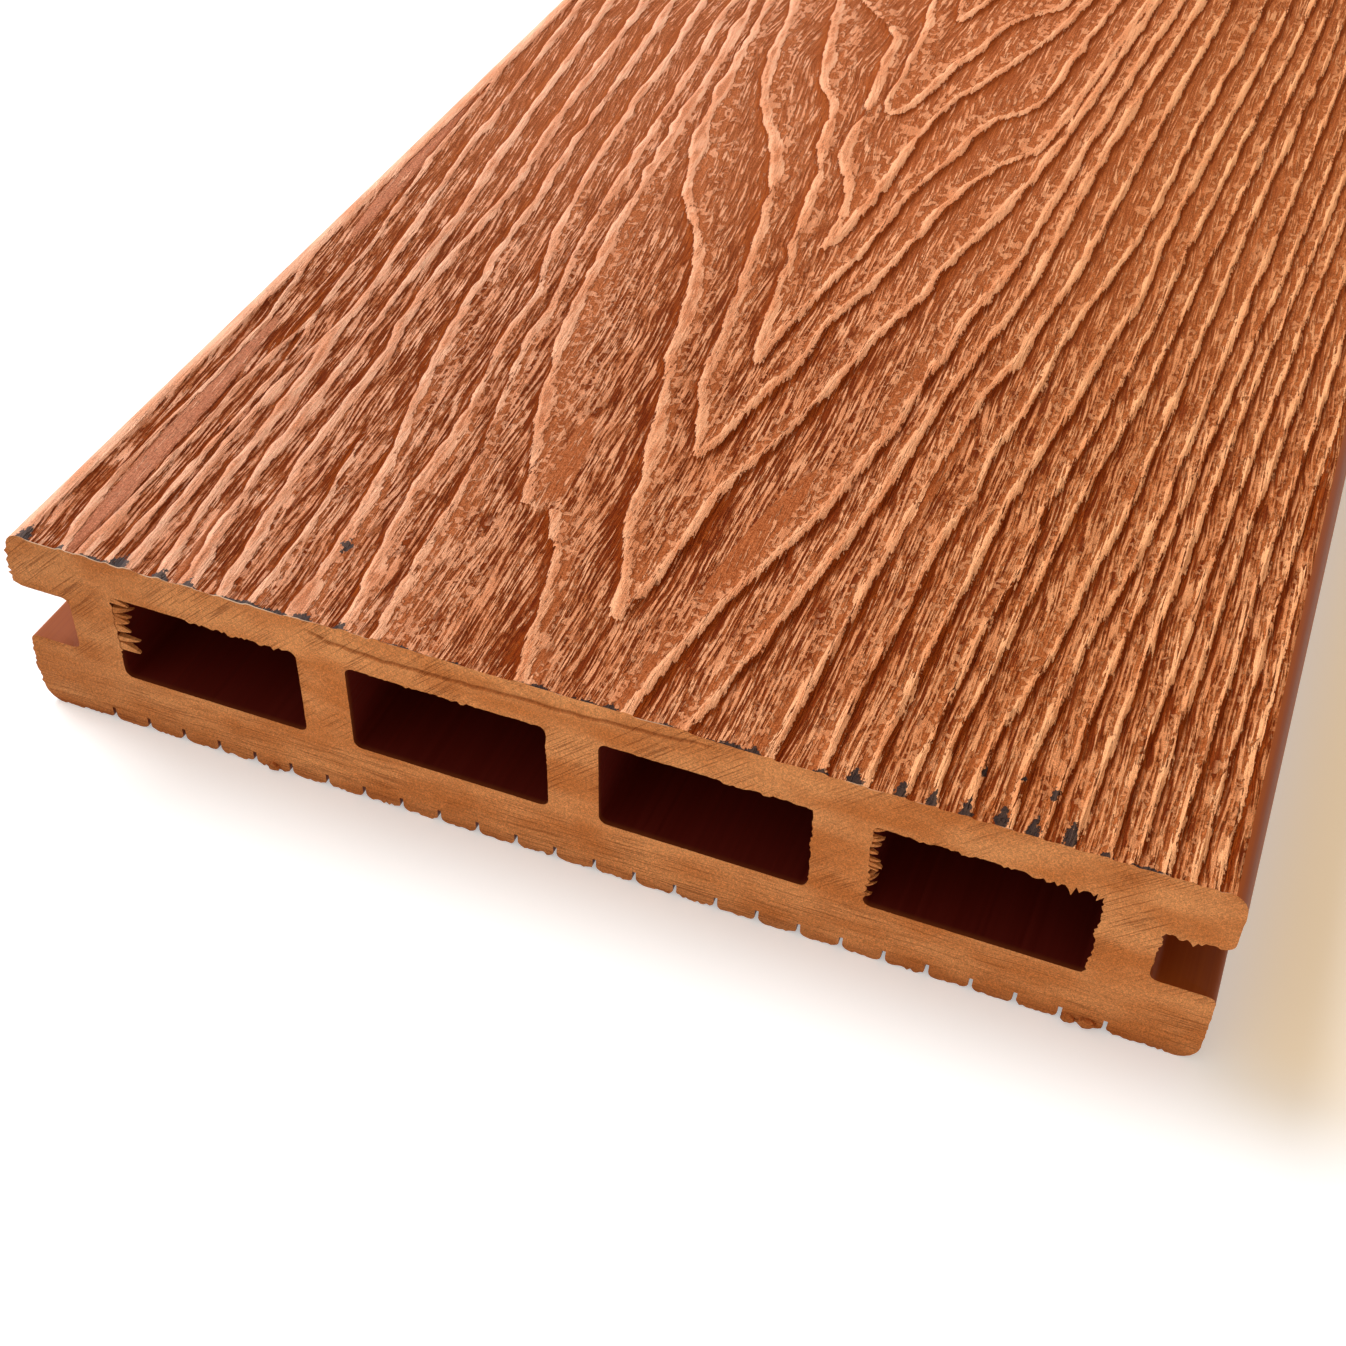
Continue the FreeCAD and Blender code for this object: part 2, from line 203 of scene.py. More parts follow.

# Cathedral points of the grain, given one by one: left and right lines by turns, each pair from one point.
CATHEDRALS = [
    (0.80, [(14, -0.9), (17, -1.6), (20, -2.4), (30, -5.8), (40, -7.8), (50, -10.0), (60, -13.2),
            (70, -15.1), (80, -17.0), (90, -20.3), (100, -25.3), (105, -27.5), (118, -31.0), (145, -35.0),
            (190, -40.0)]),
    (0.75, [(14, -0.9), (22, 0.4), (30, 1.0), (40, 1.6), (45, 2.6), (50, 3.8), (60, 5.7), (70, 7.5),
            (80, 8.8), (90, 11.1), (100, 12.1), (110, 14.2), (118, 15.7), (130, 17.5), (145, 19.0),
            (170, 20.5), (195, 22.0)]),
    (0.75, [(44.6, -3.5), (50, -4.9), (60, -8.2), (70, -9.3), (80, -11.0), (90, -12.5), (100, -14.3),
            (118, -18.8), (124, -20.9), (130, -24.2), (138, -27.6), (160, -32.0), (190, -36.0)]),
    (0.70, [(44.6, -3.5), (50, -2.2), (60, -0.5), (70, 1.3), (80, 1.9), (90, 4.0), (100, 5.6), (110, 6.9),
            (118, 8.3), (126, 10.2), (132, 12.4), (136, 15.2), (145, 17.0), (160, 18.3), (190, 20.3)]),
    (0.70, [(67, -3.8), (80, -6.0), (90, -7.5), (100, -9.2), (118, -12.0), (122, -13.2), (132, -14.8),
            (139, -16.4), (145, -19.8), (157, -23.0), (167, -25.3), (180, -28.0), (200, -32.0)]),
    (0.65, [(67, -3.8), (80, -2.4), (90, -0.9), (100, 0.8), (110, 1.3), (116, 1.8), (124, 3.4), (132, 5.0),
            (138, 6.0), (145, 8.0), (149, 11.3), (154, 13.0), (162, 13.6), (175, 14.3), (195, 16.0)]),
    (0.70, [(96.5, -4.4), (108, -5.2), (117, -7.0), (123, -9.8), (133, -10.9), (148, -12.2), (158, -13.7),
            (167, -14.8), (172, -18.7), (177, -23.0), (190, -26.0)]),
    (0.65, [(96.5, -4.4), (106, -3.2), (118, -2.3), (130, -1.9), (140, -1.2), (149, 0.3), (153, 1.9),
            (159, 3.6), (167, 5.8), (174, 8.0), (182, 9.7), (195, 11.5)]),
    (0.50, [(138.7, -8.1), (143, -9.2), (152, -9.6), (165, -10.2), (185, -13.0)]),
    (0.65, [(138.7, -8.1), (141, -6.6), (148, -4.8), (154, -3.7), (162, -2.6), (167, -0.9), (176, 0.4),
            (183, 3.6), (188, 7.0), (195, 8.5)]),
    (0.60, [(176, -6.5), (184, -8.2), (195, -10.4)]),
    (0.60, [(176, -6.5), (184, -4.8), (195, -2.0)]),
    (0.60, [(204, -4.0), (212, -6.0), (222, -8.5)]),
    (0.60, [(204, -4.0), (212, -2.4), (222, 0.0)]),
]

# Grey marks rubbed onto the top beside the cut: across, along, half width, reach along.
SMUDGES = [
    (-67.5, 0.0, 1.6, 3.0), (-62.5, 0.0, 0.8, 1.2), (-58.0, 0.0, 2.2, 0.7), (-55.0, 0.3, 1.7, 2.8),
    (-49.5, 0.0, 1.8, 2.0), (-46.0, 0.0, 1.2, 1.7), (-38.5, 0.0, 5.5, 0.8), (-35.0, 0.0, 2.2, 0.9),
    (-33.2, 13.0, 1.0, 1.4), (-31.7, 0.0, 1.8, 1.7), (-27.3, 0.2, 1.5, 1.7), (-20.0, 0.0, 4.0, 0.8),
    (-13.5, 0.0, 1.3, 0.9), (-4.0, 0.0, 3.0, 1.1), (1.5, 0.0, 3.4, 1.0), (4.2, 0.2, 1.2, 1.6),
    (10.5, 0.0, 2.2, 0.9), (17.5, 0.0, 3.6, 0.8), (20.0, 0.0, 1.3, 1.4), (27.2, 0.0, 1.4, 0.9),
    (30.5, 0.4, 1.3, 2.8), (35.3, 0.6, 0.9, 3.2), (38.5, 0.5, 0.9, 3.2), (42.0, 0.5, 0.9, 3.0),
    (42.3, 6.5, 0.5, 1.0), (45.5, 0.8, 1.0, 3.5), (46.3, 7.0, 0.5, 0.8), (48.7, 0.6, 1.0, 3.3),
    (49.6, 6.0, 0.7, 1.7), (52.3, 1.0, 0.9, 4.3), (56.0, 0.0, 1.0, 1.2), (60.0, 0.0, 2.6, 0.6),
]

# Flats left plain between the ridges: across, along, half width, half length, lean.
PLAIN_PATCHES = [
    (-62.6, 24.0, 1.5, 30.0, -0.05), (-66.5, 95.0, 1.4, 26.0, -0.07), (-16.5, 38.0, 1.5, 9.0, -0.12),
    (-48.5, 8.0, 0.9, 9.0, -0.10), (9.0, 34.0, 1.6, 14.0, 0.16), (24.5, 48.0, 1.0, 18.0, 0.08),
]

# Burrs of the near cut: the box across and up that they lie in, and how far they stand out.
BURRS = [
    (-70.5, -69.6, 18.4, 23.6, 0.75), (-70.5, -69.0, 2.6, 9.9, 0.75), (-63.0, -57.0, 17.8, 18.6, 0.1),
    (62.5, 63.3, 12.0, 18.0, 0.55), (63.6, 69.6, 18.0, 19.0, 1.2), (69.6, 70.5, 18.4, 23.6, 0.12),
    (69.0, 70.5, 2.6, 9.9, 0.15),
    (-47.5, -34.0, 20.3, 20.8, 0.9), (-57.6, -56.9, 11.0, 20.0, 0.45),
    (-24.0, -12.0, 20.3, 20.8, 0.4), (-12.0, -4.0, 20.3, 20.8, 0.25), (-3.2, -2.7, 15.0, 20.0, 0.2),
    (4.0, 17.0, 20.3, 20.8, 0.12), (17.0, 26.5, 20.3, 20.8, 0.4), (26.8, 27.4, 8.5, 20.4, 0.3),
    (34.0, 48.0, 20.3, 20.8, 0.4), (48.0, 57.0, 20.3, 20.8, 1.4), (56.9, 57.4, 8.5, 20.4, 0.5),
    (32.8, 33.4, 9.5, 20.0, 0.6),
]
PLAIN_BURR = 0.05
BURR_PITCH = 0.36
BURR_BACK = 0.6
TOOTH_CHIP = 0.55

# Fibres torn loose on a chamber's left wall: chamber, lowest, highest, how many, longest reach, thickest.
FRINGES = [(0, 12.8, 20.6, 7, 2.3, 1.25), (3, 9.2, 20.4, 13, 1.5, 0.6)]

# Crumbs torn off the teeth at the near cut: across, up, half width, half height.
CRUMBS = [(58.4, 0.9, 1.1, 0.8), (56.3, 0.8, 0.9, 0.5), (-38.4, 0.7, 0.9, 0.5)]

# The saw's step under the top edge of the near cut: across, and how far down its line lies.
STEP_ACROSS = (-34.0, -29.0, -22.0, 0.0, 12.0, 20.0)
STEP_DOWN = (0.6, 2.4, 2.9, 2.3, 1.6, 0.6)
STEP_SINK = 0.3
RIM_HEIGHT = 0.3
RIM_SINK = 0.04

# Rows of points along the saw's step: above its line, share of the sink, share of the painted shadow.
STEP_ROWS = ((0.45, 1.0, 0.0), (0.1, 1.0, 1.0), (-0.1, 0.0, 0.4), (-0.3, 0.0, 0.0))
STEP_PITCH = 0.5
STEP_CLEAR = 0.5
STEP_WAVE = 0.12

# Loose points that roughen the near cut.
SAWN_PITCH = 0.9
SAWN_JITTER = 0.35
SAWN_ROUGH = 0.05
SAWN_BELOW_TOP = 1.1

# First seeds of the chance in the near cut's edges, fringes and crumbs.
SKIRT_SEED = 71
CHAMBER_SEED = 81
FRINGE_SEED = 91
CRUMB_SEED = 95


# Seeded smooth noise.

def lattice(seed, *shape):
    return np.random.default_rng(seed).uniform(-1.0, 1.0, shape)


def ease(t):
    return t * t * (3.0 - 2.0 * t)


def ramp(value, low, high):
    """Smooth step from 0 at low to 1 at high."""
    return ease(np.clip((value - low) / (high - low), 0.0, 1.0))


def wander(seed, at, pitch):
    """Smooth noise along a line, from -1 to 1, with one knot every pitch."""
    knots = lattice(seed, 512)
    place = np.asarray(at, float) / pitch
    base = np.floor(place).astype(int)
    mix = ease(place - base)
    return knots[base % 512] * (1.0 - mix) + knots[(base + 1) % 512] * mix


def mottle(seed, across, along, across_pitch, along_pitch):
    """Smooth noise over a surface, from -1 to 1."""
    knots = lattice(seed, 256, 256)
    u, v = np.asarray(across, float) / across_pitch, np.asarray(along, float) / along_pitch
    i, j = np.floor(u).astype(int), np.floor(v).astype(int)
    a, b = ease(u - i), ease(v - j)
    low = knots[i % 256, j % 256] * (1 - a) + knots[(i + 1) % 256, j % 256] * a
    high = knots[i % 256, (j + 1) % 256] * (1 - a) + knots[(i + 1) % 256, (j + 1) % 256] * a
    return low * (1 - b) + high * b


# The grain's lines.

def drift(across, side):
    """How fast a grain line moves outwards for each millimetre along the board."""
    if side < 0:
        return -np.interp(-across, (0, 20, 40, 70), (0.17, 0.13, 0.11, 0.10))
    return np.interp(across, (0, 8, 15, 30, 70), (0.17, 0.14, 0.10, 0.06, 0.035))


def on_plan(points):
    """Brings points of the plan onto the board."""
    return [(PLAN_SCALE * along, across + PLAN_SHIFT + PLAN_LEAN * along) for along, across in points]


def carry_on(points, side):
    """Continues a line along the board until it leaves the finely meshed end or the top."""
    along, across = points[-1]
    course = list(points)
    while abs(across) < HALF_WIDTH + 1 and along < NEAR_ZONE:
        along += LINE_STEP
        across += drift(across, side) * LINE_STEP
        course.append((along, across))
    return course


def placed_lines():
    """The listed lines: the side they drift to, half width, points, and whether each end fades out."""
    tables = [(-1, LEFT_LINES), (1, RIGHT_LINES), (-1, CATHEDRALS[0::2]), (1, CATHEDRALS[1::2])]
    for side, table in tables:
        for width, points in table:
            course = on_plan(points)
            pointed = table is not LEFT_LINES and table is not RIGHT_LINES
            starts = points[0][0] > 0 and not pointed
            ends = points[-1][0] < RUNS_ON_PAST
            yield side, width, course if ends else carry_on(course, side), starts, ends


def through(points, along):
    """A smooth curve through given points."""
    at, x = np.array(points, float).T
    slope = np.gradient(x, at)
    k = np.clip(np.searchsorted(at, along) - 1, 0, len(at) - 2)
    gap = at[k + 1] - at[k]
    t = (along - at[k]) / gap
    return ((2 * t**3 - 3 * t**2 + 1) * x[k] + (t**3 - 2 * t**2 + t) * gap * slope[k]
            + (3 * t**2 - 2 * t**3) * x[k + 1] + (t**3 - t**2) * gap * slope[k + 1])


def line_course(number, line, along):
    """Centre and half width of one line where it is at those rows."""
    _, width, points, starts, ends = line
    across = through(points, along)
    beyond = ramp(along, CALMER_FROM, CALMER_TO)
    finer = FINER_LEFT * ramp(along, FINER_FROM, FINER_TO) * ramp(-across, FINER_SIDE_FROM, FINER_SIDE_TO)
    fullness = np.interp(across, FULLNESS_ACROSS, FULLNESS)
    fullness *= 1.0 + beyond * np.interp(across, FULLER_ACROSS, FULLER)
    fullness *= 1.0 - finer
    steady = np.interp(across, STEADY_ACROSS, STEADY)
    wiggle = sum(most * wander(seed + number, along, pitch) for most, pitch, seed in WIGGLES)
    swell = sum(most * wander(seed + number, along, pitch) for most, pitch, seed in SWELLS)
    lost = np.zeros_like(along)
    if starts:
        lost = np.maximum(lost, 1.0 - (along - points[0][0]) / BLUNT_END)
    if ends:
        tail = BLUNT_END if points[-1][0] < BROKEN_BEFORE else TAPERED_END
        lost = np.maximum(lost, 1.0 - (points[-1][0] - along) / tail)
    half = fullness * width * (1.0 + steady * swell) * (1.0 - lost) - LOST_DEPTH * lost**2
    return across + steady * wiggle, half


def ring_fields(rows, columns):
    """For each point: the gap to the nearest ridge, and how far across its ring it lies.

    A ring starts sunk, just outside one ridge, at 0, and rises to the next ridge outwards, at 1.
    """
    inner = np.full((len(rows), len(columns)), FAR_GAP)
    edge = np.where(columns < 0, columns - BRUSHED_STRIP, HALF_WIDTH + EDGE_RIDGE - columns)
    outer = np.tile(edge, (len(rows), 1))
    for number, line in enumerate(placed_lines()):
        side, _, points = line[:3]
        here = np.flatnonzero((rows >= points[0][0]) & (rows <= points[-1][0]))
        if not len(here):
            continue
        centre, half = line_course(number, line, rows[here])
        beyond = side * (columns[None, :] - centre[:, None])
        inner[here] = np.minimum(inner[here], np.where(beyond >= 0, beyond, FAR_GAP) - half[:, None])
        outer[here] = np.minimum(outer[here], np.where(beyond < 0, -beyond, FAR_GAP) - half[:, None])
    for _, points in CATHEDRALS[0::2]:
        along, across = on_plan(points)[0]
        ahead = along - rows
        here = np.flatnonzero((ahead > 0) & (ahead < POINT_AHEAD))
        reach = np.abs(columns[None, :] - across) + POINT_SLOPE * ahead[here][:, None] + POINT_HALF_WIDTH
        inner[here] = np.minimum(inner[here], reach)
    sunk, raised = np.maximum(inner, 0.0), np.maximum(outer, 0.0)
    sunken = 1.0 - SUNKEN_LEFT * ramp(-columns, -VALLEYS_FROM, -VALLEYS_TO)
    return np.minimum(inner, outer), sunken * sunk / (sunk + raised + 0.05)


def relief_depth(nearest, ring, plain, rows, columns):
    """How far the surface lies below the tops of the ridges."""
    across, along = np.meshgrid(columns, rows)
    ragged = 0.10 * mottle(22, across, along, 1.6, 6.0)
    ridge = ease(np.clip(0.5 - (nearest + ragged) / RIDGE_FLANK, 0.0, 1.0))
    lumps = (1.0 - plain) * mottle(23, across, along, 0.8, 3.5)
    floor = RING_FLOOR + RING_RISE * np.maximum(ramp(ring, 0.08, 0.65), plain) + LUMP_SHARE * lumps
    return RELIEF * (1.0 - np.clip(np.maximum(ridge, floor), 0.0, 1.0))


def smudge_field(rows, columns):
    """How deep inside a grey mark each point of the top lies, from 0 at its edge to 1."""
    field = np.zeros((len(rows), len(columns)))
    for across, along, half_width, reach in SMUDGES:
        away = np.abs(columns[None, :] - across) / half_width + np.abs(rows[:, None] - along) / reach
        field = np.maximum(field, 1.0 - away)
    return field


def plain_field(rows, columns):
    """How plain the top is at each point: 1 in the middle of a plain flat, 0 outside it."""
    field = np.zeros((len(rows), len(columns)))
    for across, along, half_width, half_length, lean in PLAIN_PATCHES:
        past = rows[:, None] - along
        beside = (columns[None, :] - across - lean * past) / half_width
        away = np.sqrt(beside**2 + (past / half_length)**2)
        field = np.maximum(field, ramp(-away, -1.1, -0.75))
    return field


# Mesh building.

MARKS = ("edge_gap", "ring", "traced", "smudge", "rim", "plain")
NO_MARKS = (9.0, 0.8, 1.0, 0.0, 0.0, 0.0)
# The left rounded edge is marked as a ridge: its pale colour is partly brushing and partly painted
# highlight.
BRUSHED_AND_HIGHLIT_EDGE = (-0.3, 0.8, 1.0, 0.0, 0.0, 0.0)
FAR_MARKS = (9.0, 0.5, 0.0, 0.0, 0.0, 0.0)
TOP, SKIN, SAWN, HOLLOW = range(4)


class Shell:
    """Collects the board's vertices with their marks, and its faces with their finish."""

    def __init__(self):
        self.points = []
        self.marks = []
        self.count = 0
        self.faces = []
        self.finish = []

    def add(self, points, marks=None):
        points = np.asarray(points, float)
        start = self.count
        self.points.append(points)
        self.marks.append(np.tile(NO_MARKS, (len(points), 1)) if marks is None else marks)
        self.count += len(points)
        return np.arange(start, self.count)

    def add_section(self, profile, along):
        """Adds a line of section points at one place along the board."""
        y = np.full(len(profile), NEAR_END + along)
        return self.add(np.stack([profile[:, 0], y, profile[:, 1]], -1))

    def at(self, ids):
        return np.concatenate(self.points)[ids]

    def face(self, corners, finish):
        self.faces.append(tuple(int(c) for c in corners))
        self.finish.append(finish)

    def grid(self, ids, finish):
        """Quads over a grid of vertex numbers."""
        a, b, c, d = ids[:-1, :-1], ids[:-1, 1:], ids[1:, 1:], ids[1:, :-1]
        quads = np.stack([a, b, c, d], -1).reshape(-1, 4)
        self.faces.extend(map(tuple, quads.tolist()))
        self.finish.extend([finish] * len(quads))

    def stitch(self, first, first_at, second, second_at, finish, flip=False):
        """Triangles between two lines of vertices that run the same way with different steps."""
        i = j = 0
        while i < len(first) - 1 or j < len(second) - 1:
            at_end = j == len(second) - 1
            if at_end or (i < len(first) - 1 and first_at[i + 1] <= second_at[j + 1]):
                corners = (first[i], first[i + 1], second[j])
                i += 1
            else:
                corners = (first[i], second[j + 1], second[j])
                j += 1
            self.face(corners[::-1] if flip else corners, finish)


def arc(centre, radius, start, end, steps=4):
    """Points along an arc, in degrees, both ends included."""
    turn = np.radians(np.linspace(start, end, steps + 1))
    return [(centre[0] + radius * math.cos(a), centre[1] + radius * math.sin(a)) for a in turn]


def skirt_profile():
    """The section from under the top's right edge, down the right side, underneath and up the left side."""
    w = HALF_WIDTH
    lip = w - LIP_RADIUS
    inner = w - GROOVE_DEPTH + GROOVE_ROOT_RADIUS
    side = [(w, THICKNESS - TOP_EDGE_RADIUS - SKIRT_DROP)]
    side += arc((lip, GROOVE_ROOF + LIP_RADIUS), LIP_RADIUS, 0, -90)
    side += arc((inner, GROOVE_ROOF - GROOVE_ROOT_RADIUS), GROOVE_ROOT_RADIUS, 90, 180)
    side += arc((inner, GROOVE_FLOOR + GROOVE_ROOT_RADIUS), GROOVE_ROOT_RADIUS, 180, 270)
    side += arc((lip, GROOVE_FLOOR - LIP_RADIUS), LIP_RADIUS, 90, 0)
    side += arc((w - BOTTOM_EDGE_RADIUS, BOTTOM_EDGE_RADIUS), BOTTOM_EDGE_RADIUS, 0, -90, BOTTOM_EDGE_STEPS)
    under = []
    for centre in np.linspace(KERF_EDGE, -KERF_EDGE, KERF_COUNT):
        mouth = KERF_WIDTH / 2 + TOOTH_RADIUS
        under += arc((centre + mouth, TOOTH_RADIUS), TOOTH_RADIUS, -90, -180, TOOTH_STEPS)
        under += [(centre + KERF_WIDTH / 2, KERF_DEPTH), (centre - KERF_WIDTH / 2, KERF_DEPTH)]
        under += arc((centre - mouth, TOOTH_RADIUS), TOOTH_RADIUS, 0, -90, TOOTH_STEPS)
    return np.array(side + under + [(-x, z) for x, z in reversed(side)])


def chamber_profile(centre):
    """One chamber's section, anticlockwise from its lower left corner."""
    x0, x1 = centre - CHAMBER_WIDTH / 2, centre + CHAMBER_WIDTH / 2
    r = CHAMBER_RADIUS
    return np.array(arc((x0 + r, CHAMBER_FLOOR + r), r, 180, 270)
                    + arc((x1 - r, CHAMBER_FLOOR + r), r, 270, 360)
                    + arc((x1 - r, CHAMBER_ROOF - r), r, 0, 90)
                    + arc((x0 + r, CHAMBER_ROOF - r), r, 90, 180))


def divided(points, pitch, closed):
    """The same line with its longer runs divided.

    Returns its points, the distance run at each, and the whole distance.
    """
    points = np.asarray(points, float)
    nexts = np.roll(points, -1, axis=0) if closed else points[1:]
    out, run, whole = [], [], 0.0
    for here, there in zip(points, nexts):
        length = math.dist(here, there)
        steps = max(1, round(length / pitch))
        for k in range(steps):
            out.append(here + (there - here) * k / steps)
            run.append(whole + length * k / steps)
        whole += length
    if not closed:
        out.append(points[-1])
        run.append(whole)
    return np.array(out), np.array(run), whole


def burr_reach(points):
    """How far a burr may stand out at each point of the near cut's edge."""
    x, z = points.T
    reach = np.full(len(points), PLAIN_BURR)
    for x0, x1, z0, z1, size in BURRS:
        reach[(x > x0) & (x < x1) & (z > z0) & (z < z1)] = size
    return reach


def torn(points, run, seed):
    """The edge of the near cut, with its burrs pushed out of the solid by chance."""
    way = np.gradient(points, axis=0)
    normal = np.stack([-way[:, 1], way[:, 0]], -1)
    normal /= np.linalg.norm(normal, axis=1, keepdims=True) + 1e-9
    chance = np.random.default_rng(seed).uniform(0.0, 1.0, len(points))
    swell = 0.55 + 0.45 * wander(seed + 1, run, 2.2)
    push = burr_reach(points) * np.clip(1.3 * chance * swell, 0.0, 1.0)
    out = points + normal * push[:, None]
    out[:, 1] = np.maximum(out[:, 1], 0.0)
    chip = TOOTH_CHIP * chance * swell * np.clip(1.0 - points[:, 1] / TOOTH_RADIUS, 0.0, 1.0)
    out[:, 1] += np.where(np.abs(points[:, 0]) < HALF_WIDTH - BOTTOM_EDGE_RADIUS, chip, 0.0)
    return out


def near_rows():
    """Rows of the finely meshed end, closest together at the cut."""
    rows = [0.0]
    while rows[-1] < NEAR_ZONE:
        rows.append(rows[-1] + np.interp(rows[-1], ROWS_AT, ROW_STEPS))
    return np.array(rows)


def top_columns(pitch):
    """Places across the flat of the top."""
    flat = HALF_WIDTH - TOP_EDGE_RADIUS
    return np.linspace(-flat, flat, int(round(2 * flat / pitch)) + 1)


def step_down(across):
    """How far below the top edge the saw's step lies, and how much of the step is there."""
    down = np.interp(across, STEP_ACROSS, STEP_DOWN)
    there = ramp(across, STEP_ACROSS[0], STEP_ACROSS[1]) * ramp(-across, -STEP_ACROSS[-1], -STEP_ACROSS[-2])
    return down, STEP_SINK * there


def add_top(shell, rows, columns, depth, marks):
    """A band of the top with its two rounded edges. Returns the vertex numbers, row by row."""
    centre = (columns[-1], THICKNESS - TOP_EDGE_RADIUS)
    right = np.array(arc(centre, TOP_EDGE_RADIUS, 90, 0, TOP_EDGE_STEPS)[1:])
    left = right[::-1] * (-1, 1)
    x = np.concatenate((left[:, 0], columns, right[:, 0]))
    # The left edge gets pale ridge marks, partly brushing and partly painted highlight; the right edge
    # keeps plain marks.
    left_edge = np.tile(BRUSHED_AND_HIGHLIT_EDGE, (len(left), 1))
    right_edge = np.tile(NO_MARKS, (len(right), 1))
    ids = []
    for r, along in enumerate(rows):
        z = np.concatenate((left[:, 1], THICKNESS - depth[r], right[:, 1]))
        y = np.full_like(x, NEAR_END + along)
        if along == 0:
            y += step_down(x)[1]
        ids.append(shell.add(np.stack([x, y, z], -1), np.concatenate((left_edge, marks[r], right_edge))))
    ids = np.array(ids)
    bend = len(right)
    brushed = bend - BRUSHED_AND_HIGHLIT_OVER_LEFT
    grained = bend - GRAIN_OVER_RIGHT
    shell.grid(ids[:, :brushed + 1], SKIN)
    shell.grid(ids[:, brushed:-grained], TOP)
    shell.grid(ids[:, -grained - 1:], SKIN)
    return ids


def add_near_top(shell, rows):
    """The finely meshed top, with its relief."""
    columns = top_columns(COLUMN_PITCH)
    nearest, ring = ring_fields(rows, columns)
    plain = plain_field(rows, columns)
    depth = relief_depth(nearest, ring, plain, rows, columns)
    fade = ramp(columns[-1] - np.abs(columns), 0.0, EDGE_FADE)
    depth = depth * fade * ramp(rows, RELIEF_FROM, RELIEF_FULL)[:, None]
    smudge = smudge_field(rows, columns)
    traced = np.broadcast_to(ramp(-rows, -NEAR_ZONE, GRAIN_MERGE - NEAR_ZONE)[:, None], nearest.shape)
    rim = np.zeros_like(nearest)
    rim[0] = np.clip(0.75 - 0.7 * ramp(columns, -40.0, -18.0) + 0.5 * wander(61, columns, 1.5), 0.0, 1.0)
    return add_top(shell, rows, columns, depth, np.stack([nearest, ring, traced, smudge, rim, plain], -1))


def add_far_top(shell, rows):
    """The rest of the top, whose grain is drawn by its material."""
    columns = top_columns(FAR_COLUMN_PITCH)
    depth = np.full((len(rows), len(columns)), FAR_DEPTH)
    depth[:, (0, -1)] = 0.0
    return add_top(shell, rows, columns, depth, np.tile(FAR_MARKS, depth.shape + (1,)))


def inside(loop, points):
    """Which points lie inside a closed loop."""
    x, z = points.T
    hit = np.zeros(len(points), bool)
    for (ax, az), (bx, bz) in zip(loop, np.roll(loop, -1, axis=0)):
        crosses = (az > z) != (bz > z)
        with np.errstate(divide="ignore", invalid="ignore"):
            hit ^= crosses & (x < (bx - ax) * (z - az) / (bz - az) + ax)
    return hit


def in_section(points, outline, holes):
    """Which points lie in the solid of the section."""
    keep = inside(outline, points)
    for hole in holes:
        keep &= ~inside(hole, points)
    return keep


def add_end(shell, outline_ids, chamber_ids, near, loose=(), sink=(), shade=()):
    """Closes one sawn end: the section less its chambers. The loose points lie sunk into the cut."""
    everything = np.concatenate(shell.points)
    loops = [outline_ids] + chamber_ids
    flats = [everything[loop][:, (0, 2)] for loop in loops]
    ids = list(np.concatenate(loops))
    flat = np.concatenate(flats)
    edges = []
    for loop in loops:
        start = len(edges)
        edges += [(start + i, start + (i + 1) % len(loop)) for i in range(len(loop))]
    if len(loose):
        keep = in_section(loose, flats[0], flats[1:])
        loose, sink = loose[keep], sink[keep]
        marks = np.tile(NO_MARKS, (len(loose), 1))
        marks[:, MARKS.index("rim")] = shade[keep]
        ids += list(shell.add(np.stack([loose[:, 0], NEAR_END + sink, loose[:, 1]], -1), marks))
        flat = np.concatenate((flat, loose))
    verts, _, tris, origin, _, _ = delaunay_2d_cdt([Vector(p) for p in flat], edges, [], 0, 1e-5)
    spots = np.array([tuple(v) for v in verts])
    tris = np.array(tris)
    keep = in_section(spots[tris].mean(axis=1), flats[0], flats[1:])
    plane = NEAR_END if near else NEAR_END + LENGTH
    source = [ids[o[0]] if o else int(shell.add([(x, plane, z)])[0]) for o, (x, z) in zip(origin, spots)]
    for tri in tris[keep]:
        corners = [source[c] for c in tri]
        shell.face(corners if near else corners[::-1], SAWN)


def sawn_points(shell, top_ids):
    """Loose points of the near cut, how far each is sunk and how much painted shadow it carries.

    They make the cut's roughness, the rim under the top edge, and the saw's step with painted shadow on it.
    """
    chance = np.random.default_rng(31)
    x, z = np.meshgrid(np.arange(-HALF_WIDTH, HALF_WIDTH, SAWN_PITCH), np.arange(0, THICKNESS, SAWN_PITCH))
    field = np.stack([x.ravel(), z.ravel()], -1)
    field += chance.uniform(-SAWN_JITTER, SAWN_JITTER, field.shape) * SAWN_PITCH
    field = field[THICKNESS - field[:, 1] > SAWN_BELOW_TOP]
    down, sink = step_down(field[:, 0])
    clear = (np.abs(THICKNESS - field[:, 1] - down) >= STEP_CLEAR) | (sink <= 0)
    field, down, sink = field[clear], down[clear], sink[clear]
    rough = SAWN_ROUGH + SAWN_ROUGH * mottle(41, field[:, 0], field[:, 1], 1.6, 1.1)
    sunk = rough + np.where(THICKNESS - field[:, 1] < down, sink, 0.0)

    rim = shell.at(top_ids)[:, (0, 2)] - (0.0, RIM_HEIGHT)
    points = [field, rim]
    depths = [sunk, step_down(rim[:, 0])[1] + RIM_SINK]
    shades = [np.zeros(len(field)), np.zeros(len(rim))]
    line = np.arange(STEP_ACROSS[0], STEP_ACROSS[-1], STEP_PITCH)
    down, sink = step_down(line)
    wave = STEP_WAVE * wander(43, line, 1.3)
    for offset, share, shadow in STEP_ROWS:
        points.append(np.stack([line, THICKNESS - down + wave + offset], -1))
        depths.append(share * sink)
        shades.append(-shadow * sink / STEP_SINK)
    return np.concatenate(points), np.concatenate(depths), np.concatenate(shades)


